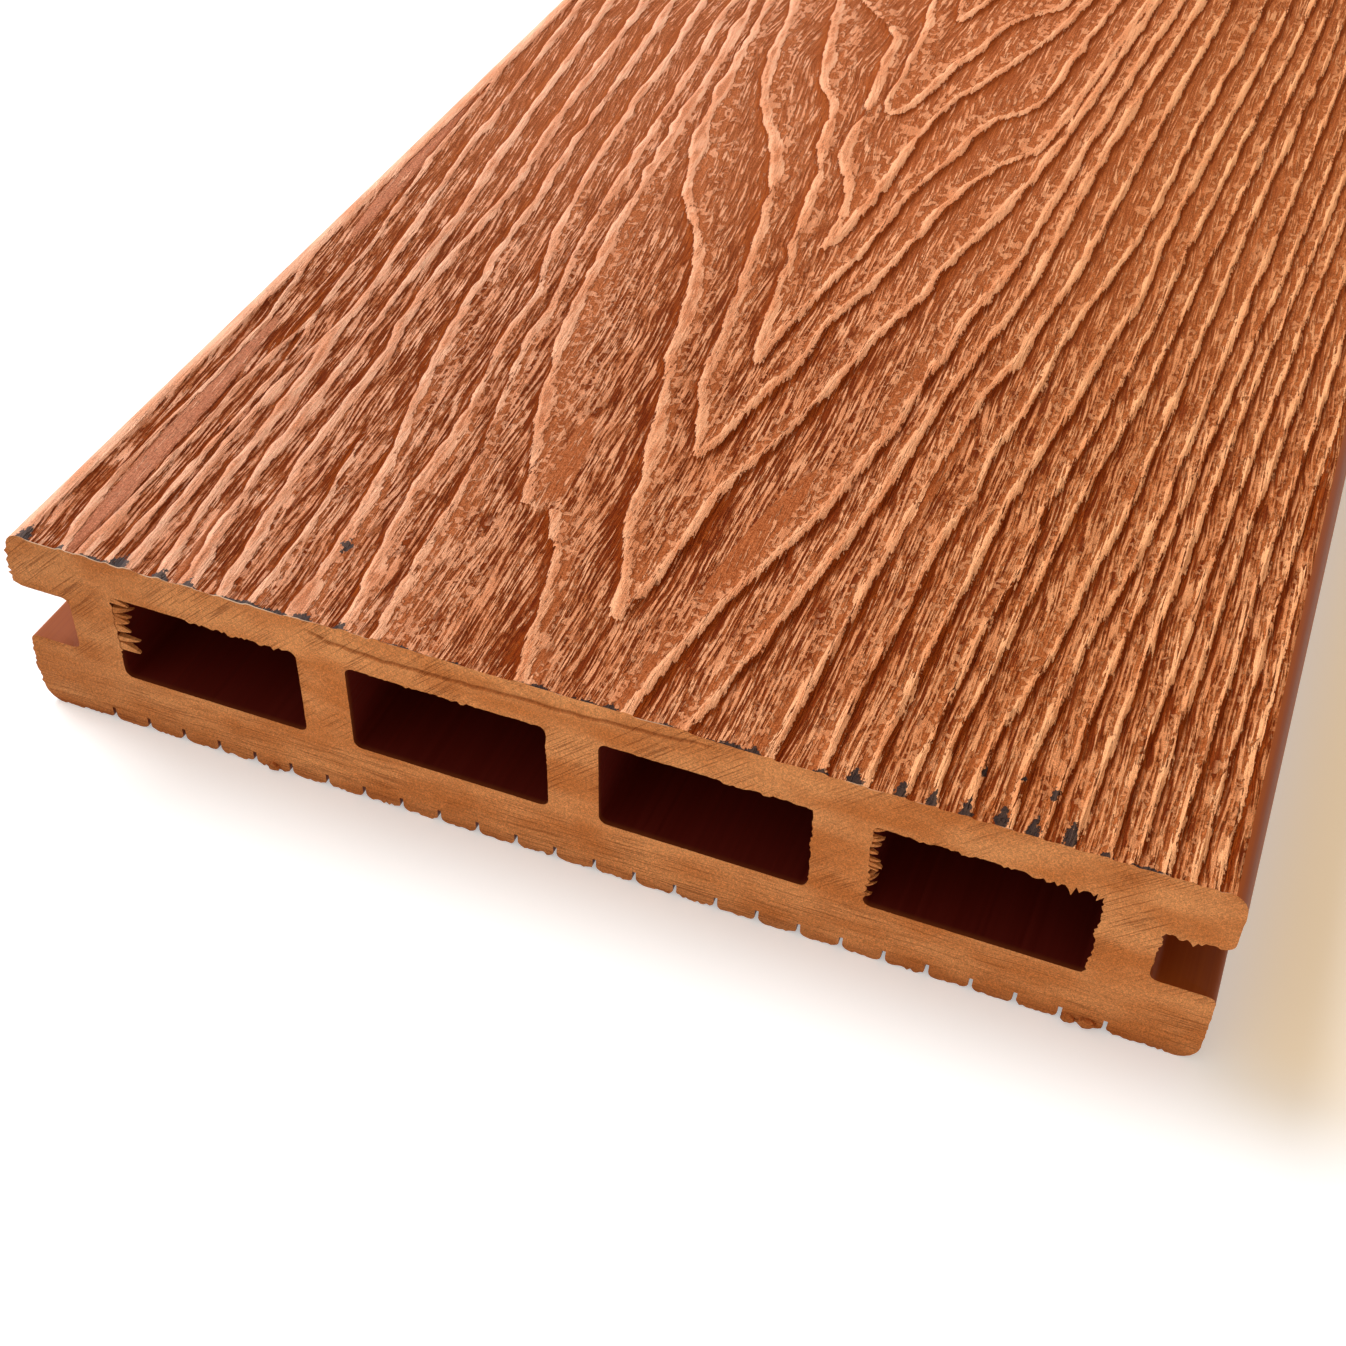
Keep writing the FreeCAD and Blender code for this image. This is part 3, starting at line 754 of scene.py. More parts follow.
def add_fringe(shell, seed, chamber, lowest, highest, count, reach, thickest):
    """Fibres torn loose from a chamber's left wall: hooked blades of chance length and droop."""
    chance = np.random.default_rng(seed)
    wall = CHAMBER_CENTRES[chamber] - CHAMBER_WIDTH / 2
    for k in range(count):
        height = lowest + (highest - lowest) * (k + chance.uniform(0.1, 0.9)) / count
        length = reach * chance.uniform(0.45, 1.0)
        hook = chance.uniform(0.3, 1.3)
        sweep = chance.uniform(0.2, 1.6)
        thick = thickest * chance.uniform(0.5, 1.0)
        deep = chance.uniform(0.4, 0.9)
        rings = []
        for t in (0.0, 0.25, 0.5, 0.75, 0.9, 1.0):
            x = wall - 0.2 + (length + 0.2) * math.sin(hook * t) / math.sin(hook)
            z = height + length * (math.cos(hook * t) - 1.0) / hook
            half = 0.5 * thick * (1.0 - 0.85 * t * t)
            front = 0.06 + sweep * t * t
            back = front + deep * (1.0 - 0.6 * t)
            section = [(x, front, z - half), (x, front, z + half), (x, back, z + half), (x, back, z - half)]
            rings.append(shell.add([(px, NEAR_END + py, pz) for px, py, pz in section]))
        rings = np.array(rings)
        shell.grid(np.concatenate((rings, rings[:, :1]), axis=1)[:, ::-1], SAWN)
        shell.face(rings[0], SAWN)
        shell.face(rings[-1][::-1], SAWN)


def add_crumb(shell, seed, across, up, half_width, half_height):
    """A ragged crumb hanging on the near cut: a small uneven ball, flattened against the end."""
    chance = np.random.default_rng(seed)
    around, rings = 7, []
    for tilt in np.radians((-60, -20, 20, 60)):
        turn = np.linspace(0, 2 * math.pi, around, endpoint=False) + chance.uniform(-0.15, 0.15, around)
        size = math.cos(tilt) * chance.uniform(0.65, 1.15, around)
        x = across + half_width * size * np.cos(turn)
        z = np.maximum(up + half_height * size * np.sin(turn), 0.02)
        y = NEAR_END - 0.2 + 0.6 * math.sin(tilt) * chance.uniform(0.6, 1.3, around)
        rings.append(shell.add(np.stack([x, y, z], -1)))
    rings = np.array(rings)
    shell.grid(np.concatenate((rings, rings[:, :1]), axis=1)[:, ::-1], SAWN)
    shell.face(rings[0], SAWN)
    shell.face(rings[-1][::-1], SAWN)


SIDE_ROWS = (2.5, 8.0, 25.0, 90.0, 300.0, 800.0, 1500.0)


def add_walls(shell, profile, finish, closed, seed):
    """Long walls of one section line. Returns the vertex numbers of its near and far ends, and its rows."""
    fine, run, whole = divided(profile, BURR_PITCH, closed)
    _, coarse_run, _ = divided(profile, 1e6, closed)
    edge = shell.add_section(torn(fine, run, seed), 0.0)
    behind = shell.add_section(fine, BURR_BACK)
    rows = np.array([shell.add_section(profile, along) for along in SIDE_ROWS + (LENGTH,)])
    first = np.array([edge, behind])
    second, second_run = behind, run
    third, third_run = rows[0], coarse_run
    loops = rows
    if closed:
        first = np.concatenate((first, first[:, :1]), axis=1)
        second, second_run = np.append(second, second[0]), np.append(run, whole)
        third, third_run = np.append(third, third[0]), np.append(coarse_run, whole)
        loops = np.concatenate((rows, rows[:, :1]), axis=1)
    shell.grid(first, finish)
    shell.stitch(second, second_run, third, third_run, finish)
    shell.grid(loops, finish)
    return edge, behind, rows


def board_mesh():
    """The whole board as one closed mesh."""
    shell = Shell()
    near = near_rows()
    far = np.append(np.arange(near[-1] + FAR_START, LENGTH - FAR_ROW / 2, FAR_ROW), LENGTH)
    near_ids = add_near_top(shell, near)
    far_ids = add_far_top(shell, far)
    last, first = near_ids[-1], far_ids[0]
    shell.stitch(last, shell.at(last)[:, 0], first, shell.at(first)[:, 0], TOP)

    edge, behind, rows = add_walls(shell, skirt_profile(), SKIN, False, SKIRT_SEED)
    wall_rows = (0.0, BURR_BACK) + SIDE_ROWS + (LENGTH,)
    top_rows = np.concatenate((near, far))
    for side, flip in ((-1, True), (0, False)):
        top_side = np.concatenate((near_ids[:, side], far_ids[:, side]))
        end = 0 if flip else -1
        wall_side = np.concatenate(([edge[end], behind[end]], rows[:, end]))
        shell.stitch(top_side, top_rows, wall_side, wall_rows, SKIN, flip)

    near_holes, far_holes = [], []
    for number, centre in enumerate(CHAMBER_CENTRES):
        seed = CHAMBER_SEED + 2 * number
        hole_edge, _, hole_rows = add_walls(shell, chamber_profile(centre), HOLLOW, True, seed)
        near_holes.append(hole_edge)
        far_holes.append(hole_rows[-1])

    flat_of_top = near_ids[0][TOP_EDGE_STEPS:-TOP_EDGE_STEPS]
    add_end(shell, np.concatenate((near_ids[0], edge)), near_holes, True, *sawn_points(shell, flat_of_top))
    add_end(shell, np.concatenate((far_ids[-1], rows[-1])), far_holes, False)
    for number, fringe in enumerate(FRINGES):
        add_fringe(shell, FRINGE_SEED + number, *fringe)
    for number, crumb in enumerate(CRUMBS):
        add_crumb(shell, CRUMB_SEED + number, *crumb)
    return shell


def make_mesh(shell):
    """The shell as a Blender mesh, its marks as attributes and its edges kept crisp."""
    mesh = bpy.data.meshes.new("decking_board_dressed")
    mesh.from_pydata((np.concatenate(shell.points) * MM).tolist(), [], shell.faces)
    marks = np.concatenate(shell.marks)
    for column, name in enumerate(MARKS):
        layer = mesh.attributes.new(name, "FLOAT", "POINT")
        layer.data.foreach_set("value", np.clip(marks[:, column], -3.0, 9.0).astype(np.float32))
    mesh.polygons.foreach_set("material_index", np.array(shell.finish, np.int32))
    mesh.update()
    mesh.validate()
    mesh.shade_smooth()
    mesh.set_sharp_from_angle(angle=math.radians(CRISP_ANGLE))
    return mesh


# Materials.

def srgb(red, green, blue):
    """A colour given as the eye reads it, from 0 to 255, in the shader's own units."""
    def linear(v):
        v /= 255
        return v / 12.92 if v <= 0.04045 else ((v + 0.055) / 1.055) ** 2.4
    return (linear(red), linear(green), linear(blue), 1.0)


class Nodes:
    """Short ways to add and join shader nodes."""

    # Sockets of the mix node, for colours and for plain numbers.
    COLOUR_A, COLOUR_B, MIXED_COLOUR = 6, 7, 2
    FACTOR, NUMBER_A, NUMBER_B, MIXED_NUMBER = 0, 2, 3, 0

    def __init__(self, tree):
        self.tree = tree

    def add(self, kind, **settings):
        node = self.tree.nodes.new(kind)
        for name, value in settings.items():
            setattr(node, name, value)
        return node

    def join(self, output, socket):
        self.tree.links.new(output, socket)

    def feed(self, socket, value):
        if isinstance(value, bpy.types.NodeSocket):
            self.join(value, socket)
        else:
            socket.default_value = value

    def math(self, operation, first, second=0.0, third=0.0):
        node = self.add("ShaderNodeMath", operation=operation)
        for socket, value in zip(node.inputs, (first, second, third)):
            self.feed(socket, value)
        return node.outputs[0]

    def spread(self, value, low, high, new_low=0.0, new_high=1.0):
        """Smooth step of a value between two limits."""
        node = self.add("ShaderNodeMapRange", interpolation_type="SMOOTHSTEP")
        for name, v in (("Value", value), ("From Min", low), ("From Max", high),
                        ("To Min", new_low), ("To Max", new_high)):
            self.feed(node.inputs[name], v)
        return node.outputs["Result"]

    def mix(self, factor, first, second):
        node = self.add("ShaderNodeMix", data_type="RGBA")
        for socket, value in ((self.FACTOR, factor), (self.COLOUR_A, first), (self.COLOUR_B, second)):
            self.feed(node.inputs[socket], value)
        return node.outputs[self.MIXED_COLOUR]

    def blend(self, factor, first, second):
        """The same for plain numbers."""
        node = self.add("ShaderNodeMix", data_type="FLOAT")
        for socket, value in ((self.FACTOR, factor), (self.NUMBER_A, first), (self.NUMBER_B, second)):
            self.feed(node.inputs[socket], value)
        return node.outputs[self.MIXED_NUMBER]

    def scaled(self, colour, strength):
        """A colour made lighter or darker by a number."""
        node = self.add("ShaderNodeVectorMath", operation="SCALE")
        self.join(colour, node.inputs[0])
        self.feed(node.inputs["Scale"], strength)
        return node.outputs[0]

    def tinted(self, colour, tint):
        """One colour laid over another, as a glaze."""
        node = self.add("ShaderNodeMix", data_type="RGBA", blend_type="MULTIPLY")
        node.inputs[self.FACTOR].default_value = 1.0
        self.join(colour, node.inputs[self.COLOUR_A])
        self.feed(node.inputs[self.COLOUR_B], tint)
        return node.outputs[self.MIXED_COLOUR]

    def noise(self, vector, detail=2.0, rough=0.5):
        node = self.add("ShaderNodeTexNoise")
        self.feed(node.inputs["Vector"], vector)
        node.inputs["Scale"].default_value = 1.0
        node.inputs["Detail"].default_value = detail
        node.inputs["Roughness"].default_value = rough
        return node.outputs["Fac"]

    def sized(self, vector, across, along, upright, lean=0.0):
        """Board coordinates over a feature's size in millimetres each way, turned about the length."""
        if lean:
            turn = self.add("ShaderNodeMapping")
            self.feed(turn.inputs["Vector"], vector)
            turn.inputs["Rotation"].default_value = (0.0, math.radians(lean), 0.0)
            vector = turn.outputs["Vector"]
        node = self.add("ShaderNodeMapping")
        self.feed(node.inputs["Vector"], vector)
        node.inputs["Scale"].default_value = (1 / (across * MM), 1 / (along * MM), 1 / (upright * MM))
        return node.outputs["Vector"]

    def attribute(self, name):
        return self.add("ShaderNodeAttribute", attribute_name=name).outputs["Fac"]

    def where(self):
        return self.add("ShaderNodeTexCoord").outputs["Object"]

    def bump(self, height, strength, distance, shader):
        node = self.add("ShaderNodeBump")
        node.inputs["Strength"].default_value = strength
        node.inputs["Distance"].default_value = distance * MM
        self.join(height, node.inputs["Height"])
        self.join(node.outputs["Normal"], shader.inputs["Normal"])

    def group(self, tree, vector):
        """Places a node group that works from the place on the board."""
        node = self.add("ShaderNodeGroup")
        node.node_tree = tree
        self.join(vector, node.inputs["Where"])
        return node.outputs


def new_group(name, outputs):
    """A node group from a place on the board to named values.

    Returns its tree, its nodes, the place and the outputs.
    """
    tree = bpy.data.node_groups.new(name, "ShaderNodeTree")
    tree.interface.new_socket("Where", in_out="INPUT", socket_type="NodeSocketVector")
    for output in outputs:
        tree.interface.new_socket(output, in_out="OUTPUT", socket_type="NodeSocketFloat")
    n = Nodes(tree)
    return tree, n, n.add("NodeGroupInput").outputs["Where"], n.add("NodeGroupOutput").inputs


def die_lines():
    """Fine lines that the die leaves along the length, and slow clouding."""
    tree, n, where, out = new_group("die_lines", ("Lines", "Clouds"))
    n.join(n.noise(n.sized(where, 0.5, 140.0, 0.5), 3.0, 0.6), out["Lines"])
    n.join(n.noise(n.sized(where, 14.0, 60.0, 14.0)), out["Clouds"])
    return tree


def wood_flour():
    """Specks of wood flour in the plastic, and its finest grain."""
    tree, n, where, out = new_group("wood_flour", ("Specks", "Dust"))
    n.join(n.noise(n.sized(where, 0.34, 0.5, 0.34), 3.0, 0.6), out["Specks"])
    n.join(n.noise(n.sized(where, 0.14, 0.14, 0.14), 2.0, 0.6), out["Dust"])
    return tree


def new_material(name):
    """A material with an empty tree, its shader and its output."""
    material = bpy.data.materials.new(name)
    material.use_nodes = True
    material.node_tree.nodes.clear()
    nodes = Nodes(material.node_tree)
    shader = nodes.add("ShaderNodeBsdfPrincipled")
    output = nodes.add("ShaderNodeOutputMaterial")
    nodes.join(shader.outputs["BSDF"], output.inputs["Surface"])
    return material, nodes, shader


def far_grain(n, where):
    """Gap and ring of the grain past the near end, drawn as nested points all along the board."""
    place = n.add("ShaderNodeSeparateXYZ")
    n.join(where, place.inputs[0])
    ring_width = 4.4
    aside = n.math("SUBTRACT", place.outputs["X"], GRAIN_AXIS * MM)
    aside = n.math("SQRT", n.math("MULTIPLY_ADD", aside, aside, MM * MM))
    course = n.math("MULTIPLY_ADD", place.outputs["Y"], -0.12, aside)
    wave = n.noise(n.sized(where, 14.0, 90.0, 50.0))
    turns = n.math("MULTIPLY_ADD", course, 1 / (ring_width * MM), n.math("MULTIPLY", wave, 1.8))
    phase = n.math("FRACT", turns)
    rising = n.math("MULTIPLY_ADD", phase, -ring_width, 0.71 * ring_width)
    return n.math("MINIMUM", rising, n.math("MULTIPLY", phase, ring_width)), phase


def torn_fibre(n, where):
    """Fibre lying along the board: ribs that may stand proud, and single threads, each from 0 to 1.

    The fibre leans to the left as it runs from the near end, more so on the board's left half.
    """
    place = n.add("ShaderNodeSeparateXYZ")
    n.join(where, place.inputs[0])
    run = n.math("SUBTRACT", place.outputs["Y"], NEAR_END * MM)
    run = n.math("MINIMUM", run, FIBRE_LEANS_FOR * MM)
    run = n.math("MULTIPLY_ADD", n.math("MULTIPLY", run, run), 1 / (FIBRE_BEND * MM), run)
    lean = n.spread(place.outputs["X"], -35 * MM, 20 * MM, 0.055, 0.015)
    sway = n.noise(n.sized(where, 5.0, 16.0, 8.0), 1.0)
    aside = n.math("MULTIPLY_ADD", run, lean, n.math("MULTIPLY", sway, 1.2 * MM))
    shift = n.add("ShaderNodeCombineXYZ")
    n.join(aside, shift.inputs["X"])
    moved = n.add("ShaderNodeVectorMath", operation="ADD")
    n.join(where, moved.inputs[0])
    n.join(shift.outputs[0], moved.inputs[1])
    ribs = n.noise(n.sized(moved.outputs[0], 0.27, 6.0, 2.0), 2.5, 0.5)
    nicks = n.noise(n.sized(moved.outputs[0], 0.45, 1.1, 2.0), 2.0, 0.5)
    ribs = n.math("MULTIPLY_ADD", n.math("SUBTRACT", nicks, 0.5), 0.28, ribs)
    threads = n.noise(n.sized(moved.outputs[0], 0.17, 4.5, 2.0), 2.0, 0.6)
    return n.spread(ribs, 0.26, 0.74), n.spread(threads, 0.3, 0.7)


def grain_masks(n, where, flour):
    """What lies where on the brushed top, as one bundle of values, most of them from 0 to 1."""
    m = SimpleNamespace()
    spot = n.add("ShaderNodeSeparateXYZ")
    n.join(where, spot.inputs[0])
    m.across = spot.outputs["X"]
    m.calmer = n.spread(spot.outputs["Y"], (NEAR_END + CALMER_FROM) * MM, (NEAR_END + CALMER_TO) * MM)
    m.plain = n.attribute("plain")
    m.smudge = n.attribute("smudge")
    traced = n.attribute("traced")
    far_gap, far_ring = far_grain(n, where)
    gap = n.blend(traced, far_gap, n.attribute("edge_gap"))
    m.ring = n.blend(traced, far_ring, n.attribute("ring"))
    m.dust = n.spread(n.group(flour, where)["Dust"], 0.32, 0.68)
    m.grit = n.spread(n.noise(n.sized(where, 0.22, 0.30, 0.5), 2.0, 0.6), 0.3, 0.7)
    patch = n.noise(n.sized(where, 5.0, 18.0, 20.0), 1.0)
    m.worn = n.noise(n.sized(where, 1.6, 9.0, 5.0), 1.0)
    m.ragged = n.noise(n.sized(where, 0.36, 0.6, 3.0), 3.0, 0.6)
    ribs, m.threads = torn_fibre(n, where)

    # The ridges, their edges frayed by the fibre and by wear.
    loose = n.spread(m.ring, 0.2, 0.6, 0.4, 0.9)
    strands = n.math("MULTIPLY", n.math("SUBTRACT", 0.5, ribs), loose)
    strands = n.math("MULTIPLY", strands, n.spread(m.calmer, 0.0, 1.0, 1.0, 0.5))
    nibbled = n.math("MULTIPLY_ADD", n.math("SUBTRACT", m.ragged, 0.5), 0.8, strands)
    frayed = n.math("MULTIPLY_ADD", n.math("SUBTRACT", m.worn, 0.42), 0.9, nibbled)
    m.shifted = n.math("MULTIPLY_ADD", frayed, n.spread(m.across, -48.0 * MM, -18.0 * MM, 0.3, 1.0), gap)
    m.ridge = n.spread(m.shifted, -0.05, 0.06, 1.0, 0.0)

    # Between the ridges: ribs and dots that stand proud, and the cracks between the ribs.
    place = n.math("MULTIPLY_ADD", n.math("SUBTRACT", patch, 0.5), 0.4, m.ring)
    m.place = n.blend(m.plain, place, 1.2)
    from_ridge = n.spread(m.place, -0.1, 0.14, 0.4, 1.0)
    ribbed = n.math("MULTIPLY", from_ridge, n.spread(m.place, 0.68, 0.95, 1.0, 0.1))
    few_above = n.spread(m.place, 0.1, 0.6, 1.0, 0.84)
    many_above = n.spread(m.place, 0.05, 0.4, 0.70, 0.57)
    limit = n.math("MULTIPLY_ADD", m.calmer, 0.12, n.blend(ribbed, few_above, many_above))
    proud = n.spread(n.math("SUBTRACT", ribs, limit), -0.04, 0.10)
    small_dots = n.noise(n.sized(where, 0.7, 1.0, 3.0), 1.5)
    large_dots = n.noise(n.sized(where, 1.1, 1.7, 3.0), 1.5)
    dots = n.blend(m.calmer, small_dots, large_dots)
    dotted = n.math("MULTIPLY", n.spread(dots, 0.52, 0.56), n.spread(m.worn, 0.36, 0.48))
    dotted = n.math("MULTIPLY", dotted, n.spread(m.place, 0.4, 0.65))
    m.proud = n.math("MAXIMUM", proud, n.math("MULTIPLY", dotted, n.math("SUBTRACT", 0.85, m.plain)))
    split = n.math("SUBTRACT", ribs, n.spread(m.place, 0.1, 0.5, 0.42, 0.30))
    crack = n.math("MULTIPLY", n.spread(split, -0.07, 0.07, 1.0, 0.0), ribbed)
    m.crack = n.math("MULTIPLY", crack, n.spread(m.calmer, 0.0, 1.0, 1.0, 0.4))
    return m


def grain_colour(n, m):
    """The brushed top's colour: hollows, flats, cracks, fibre, ridges, painted light and shade, grey marks.
    """
    deep = n.mix(m.threads, srgb(122, 44, 4), srgb(164, 84, 34))
    deep = n.mix(n.math("MULTIPLY", m.calmer, 0.5), deep, srgb(190, 112, 66))
    flat = n.mix(n.math("MULTIPLY_ADD", m.threads, 0.35, n.math("MULTIPLY", m.grit, 0.65)),
                 srgb(146, 73, 34), srgb(204, 128, 86))
    colour = n.mix(n.spread(m.place, 0.02, 0.24), deep, flat)
    # Painted light: the leftmost plain flats turn pinker, as in the daylight falling from the left.
    pinker = n.math("MULTIPLY", m.plain, n.spread(m.across, -58.0 * MM, -44.0 * MM, 0.7, 0.0))
    colour = n.mix(pinker, colour, n.mix(m.grit, srgb(182, 114, 88), srgb(212, 147, 118)))
    cracked = n.mix(m.threads, srgb(94, 26, 0), srgb(130, 54, 12))
    colour = n.mix(n.math("MULTIPLY", m.crack, 0.9), colour, cracked)
    crest = n.mix(n.spread(m.worn, 0.3, 0.7), srgb(254, 196, 164), srgb(232, 162, 126))
    standing = n.spread(m.across, 15.0 * MM, 45.0 * MM, 0.75, 0.55)
    colour = n.mix(n.math("MULTIPLY", m.proud, standing), colour, crest)
    # Painted shade: a dark band just outside each ridge, partly the hollow's own red-brown and partly the
    # shade the ridge casts.
    beside = n.spread(m.shifted, 0.1, 0.8, 1.0, 0.0)
    beside = n.math("MULTIPLY", beside, n.spread(m.ring, 0.2, 0.42, 1.0, 0.0))
    beside = n.math("MULTIPLY", beside, n.spread(m.calmer, 0.0, 1.0, 0.8, 0.6))
    colour = n.mix(beside, colour, n.mix(m.threads, srgb(112, 40, 2), srgb(152, 72, 24)))
    core = n.spread(m.shifted, -0.75, -0.4, 1.0, 0.0)
    core = n.math("MULTIPLY", core, n.spread(m.worn, 0.35, 0.55, 0.35, 1.0))
    ridge_top = n.mix(core, crest, n.mix(m.grit, srgb(184, 110, 74), srgb(218, 146, 108)))
    colour = n.mix(m.ridge, colour, ridge_top)
    colour = n.scaled(colour, n.math("MULTIPLY_ADD", m.dust, 0.44, 0.82))

    # Painted light: paler and cooler on the left where the window light falls, warmer and darker to the
    # right in the shade.
    rightward = n.spread(m.across, -55.0 * MM, 5.0 * MM)
    rightmost = n.spread(m.across, 5.0 * MM, 45.0 * MM)
    tint = n.mix(rightward, (1.13, 1.12, 1.12, 1.0), (1.05, 0.92, 0.74, 1.0))
    colour = n.tinted(colour, n.mix(rightmost, tint, (1.03, 0.89, 0.62, 1.0)))
    # Painted light: farther along, the left and middle of the top turn up to 8 % paler, as more light falls
    # there.
    paler = n.spread(m.across, 0.0, 45.0 * MM, 0.08, 0.0)
    colour = n.scaled(colour, n.math("MULTIPLY_ADD", m.calmer, paler, 1.0))
    patchy = n.math("MULTIPLY", n.math("SUBTRACT", m.ragged, 0.5), n.spread(m.smudge, 0.0, 0.1, 0.0, 1.6))
    rubbed = n.spread(n.math("ADD", m.smudge, patchy), 0.2, 0.34, 0.0, 0.94)
    return n.mix(rubbed, colour, n.mix(rightward, srgb(82, 80, 83), srgb(52, 48, 48)))


def embossed_grain(flour):
    """The brushed top: pale ridges, red-brown hollows of torn fibre and plain brown flats."""
    material, n, shader = new_material("embossed_grain")
    m = grain_masks(n, n.where(), flour)
    n.join(grain_colour(n, m), shader.inputs["Base Color"])
    height = n.math("MAXIMUM", n.math("MULTIPLY", m.proud, 0.8), m.ridge)
    height = n.math("MULTIPLY_ADD", m.crack, -0.55, height)
    height = n.math("MULTIPLY_ADD", m.threads, 0.16, height)
    height = n.math("MULTIPLY_ADD", m.dust, 0.14, height)
    n.bump(height, 1.0, 0.36, shader)
    n.join(n.spread(m.ridge, 0.0, 1.0, 0.75, 0.6), shader.inputs["Roughness"])
    shader.inputs["Specular IOR Level"].default_value = 0.04
    return material


def extruded_skin(lines):
    """The die-smooth edges, grooves and underside, with faint lines along the length."""
    material, n, shader = new_material("extruded_skin")
    skin = n.group(lines, n.where())
    colour = n.mix(skin["Lines"], srgb(128, 56, 14), srgb(170, 90, 34))
    colour = n.mix(n.math("MULTIPLY", skin["Clouds"], 0.4), colour, srgb(142, 64, 28))
    n.join(colour, shader.inputs["Base Color"])
    n.bump(skin["Lines"], 0.3, 0.05, shader)
    n.join(n.spread(skin["Lines"], 0.3, 0.7, 0.34, 0.5), shader.inputs["Roughness"])
    shader.inputs["Specular IOR Level"].default_value = 0.12
    return material


def hollow_skin_painted_shade(lines):
    """The chambers' walls: red-brown skin darkened by painted shade, paler where the saw tore them."""
    material, n, shader = new_material("hollow_skin_painted_shade")
    where = n.where()
    skin = n.group(lines, where)
    place = n.add("ShaderNodeSeparateXYZ")
    n.join(where, place.inputs[0])
    from_end = n.math("SUBTRACT", 0.5 * LENGTH * MM, n.math("ABSOLUTE", place.outputs["Y"]))
    torn_skin = n.math("MULTIPLY", n.spread(from_end, 0.1 * MM, 0.9 * MM, 0.8, 0.0), skin["Clouds"])
    # Painted shade: the walls are darker than the same skin outside.
    colour = n.mix(skin["Lines"], srgb(76, 14, 6), srgb(106, 26, 12))
    colour = n.mix(torn_skin, colour, srgb(150, 84, 40))
    n.join(colour, shader.inputs["Base Color"])
    n.bump(skin["Lines"], 0.3, 0.05, shader)
    n.join(n.spread(skin["Lines"], 0.3, 0.7, 0.5, 0.65), shader.inputs["Roughness"])
    shader.inputs["Specular IOR Level"].default_value = 0.2
    return material


def sawn_end(flour):
    """The saw-cut section: ochre, dry, scratched aslant over the webs and level along the bottom."""
    material, n, shader = new_material("sawn_end")
    where = n.where()
    flecks = n.group(flour, where)
    specks = n.spread(flecks["Specks"], 0.34, 0.66)
    dust = n.spread(flecks["Dust"], 0.34, 0.66)
    place = n.add("ShaderNodeSeparateXYZ")
    n.join(where, place.inputs[0])
    up = place.outputs["Z"]
    cloud = n.noise(n.sized(where, 11.0, 9.0, 5.0), 3.0)
    colour = n.mix(n.spread(cloud, 0.3, 0.7), srgb(200, 122, 64), srgb(228, 157, 99))
    colour = n.scaled(colour, n.spread(place.outputs["X"], -70 * MM, -30 * MM, 0.88, 1.06))

    patch = n.noise(n.sized(where, 9.0, 9.0, 9.0), 1.0)
    aslant = n.noise(n.sized(where, 9.0, 2.0, 0.17, 43.0), 2.0, 0.6)
    aslant = n.math("MULTIPLY", n.spread(aslant, 0.53, 0.63), n.spread(patch, 0.36, 0.56, 0.2, 1.0))
    aslant = n.math("MULTIPLY", aslant, n.spread(up, 7.0 * MM, 11.0 * MM))
    ripple = n.math("MULTIPLY_ADD", n.noise(n.sized(where, 14.0, 6.0, 6.0), 1.0), 1.6 * MM, up)
    level_place = n.add("ShaderNodeCombineXYZ")
    n.join(place.outputs["X"], level_place.inputs["X"])
    n.join(ripple, level_place.inputs["Z"])
    level = n.noise(n.sized(level_place.outputs[0], 9.0, 2.0, 0.20), 2.5, 0.6)
    level = n.math("MULTIPLY", n.spread(level, 0.50, 0.64), n.spread(up, 9.0 * MM, 6.5 * MM))
    level = n.math("MULTIPLY", level, n.spread(patch, 0.35, 0.6, 0.45, 1.0))
    scratch = n.math("MAXIMUM", aslant, level)
    colour = n.mix(n.math("MULTIPLY", scratch, 0.55), colour, srgb(132, 62, 20))
    colour = n.scaled(colour, n.math("MULTIPLY_ADD", specks, 0.30, 0.85))
    colour = n.scaled(colour, n.math("MULTIPLY_ADD", dust, 0.40, 0.80))
    # Darker towards the bottom, over the lowest 2.4 mm.
    colour = n.mix(n.spread(up, 0.2 * MM, 2.4 * MM, 0.35, 0.0), colour, srgb(150, 76, 34))
    rim = n.attribute("rim")
    # Painted shadow along the saw's step comes from negative rim marks, the pale burr rim from positive
    # ones.
    colour = n.mix(n.spread(rim, -0.3, -0.9, 0.0, 0.5), colour, srgb(128, 60, 20))
    colour = n.mix(n.spread(rim, 0.2, 0.6, 0.0, 0.85), colour, srgb(255, 232, 206))
    n.join(colour, shader.inputs["Base Color"])

    height = n.math("MULTIPLY_ADD", scratch, -0.8, n.math("MULTIPLY", specks, 0.4))
    n.bump(n.math("MULTIPLY_ADD", dust, 0.3, height), 0.7, 0.12, shader)
    n.join(n.spread(specks, 0.0, 1.0, 0.74, 0.9), shader.inputs["Roughness"])
    shader.inputs["Specular IOR Level"].default_value = 0.12
    return material


# The piece.

def make_board():
    board = bpy.data.objects.new("embossed_board", make_mesh(board_mesh()))
    bpy.context.scene.collection.objects.link(board)
    lines, flour = die_lines(), wood_flour()
    for material in (embossed_grain(flour), extruded_skin(lines), sawn_end(flour), hollow_skin_painted_shade(lines)):
        board.data.materials.append(material)
    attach(board, "root")
    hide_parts(NODE)


# Stage, light and camera.

def seen(n):
    """1 for rays from the camera and for what is mirrored or seen through, else 0."""
    path = n.add("ShaderNodeLightPath")
    seen_or_mirrored = n.math("MAXIMUM", path.outputs["Is Camera Ray"], path.outputs["Is Glossy Ray"])
    return n.math("MAXIMUM", seen_or_mirrored, path.outputs["Is Transmission Ray"])


FLOOR_REACH = 12.0
FLOOR_GLOW = 0.39
WINDOW_STRENGTH = 2.4
WINDOW_SPREAD = 28.0
WINDOW_FROM = (-0.75, 0.3, 1.0)


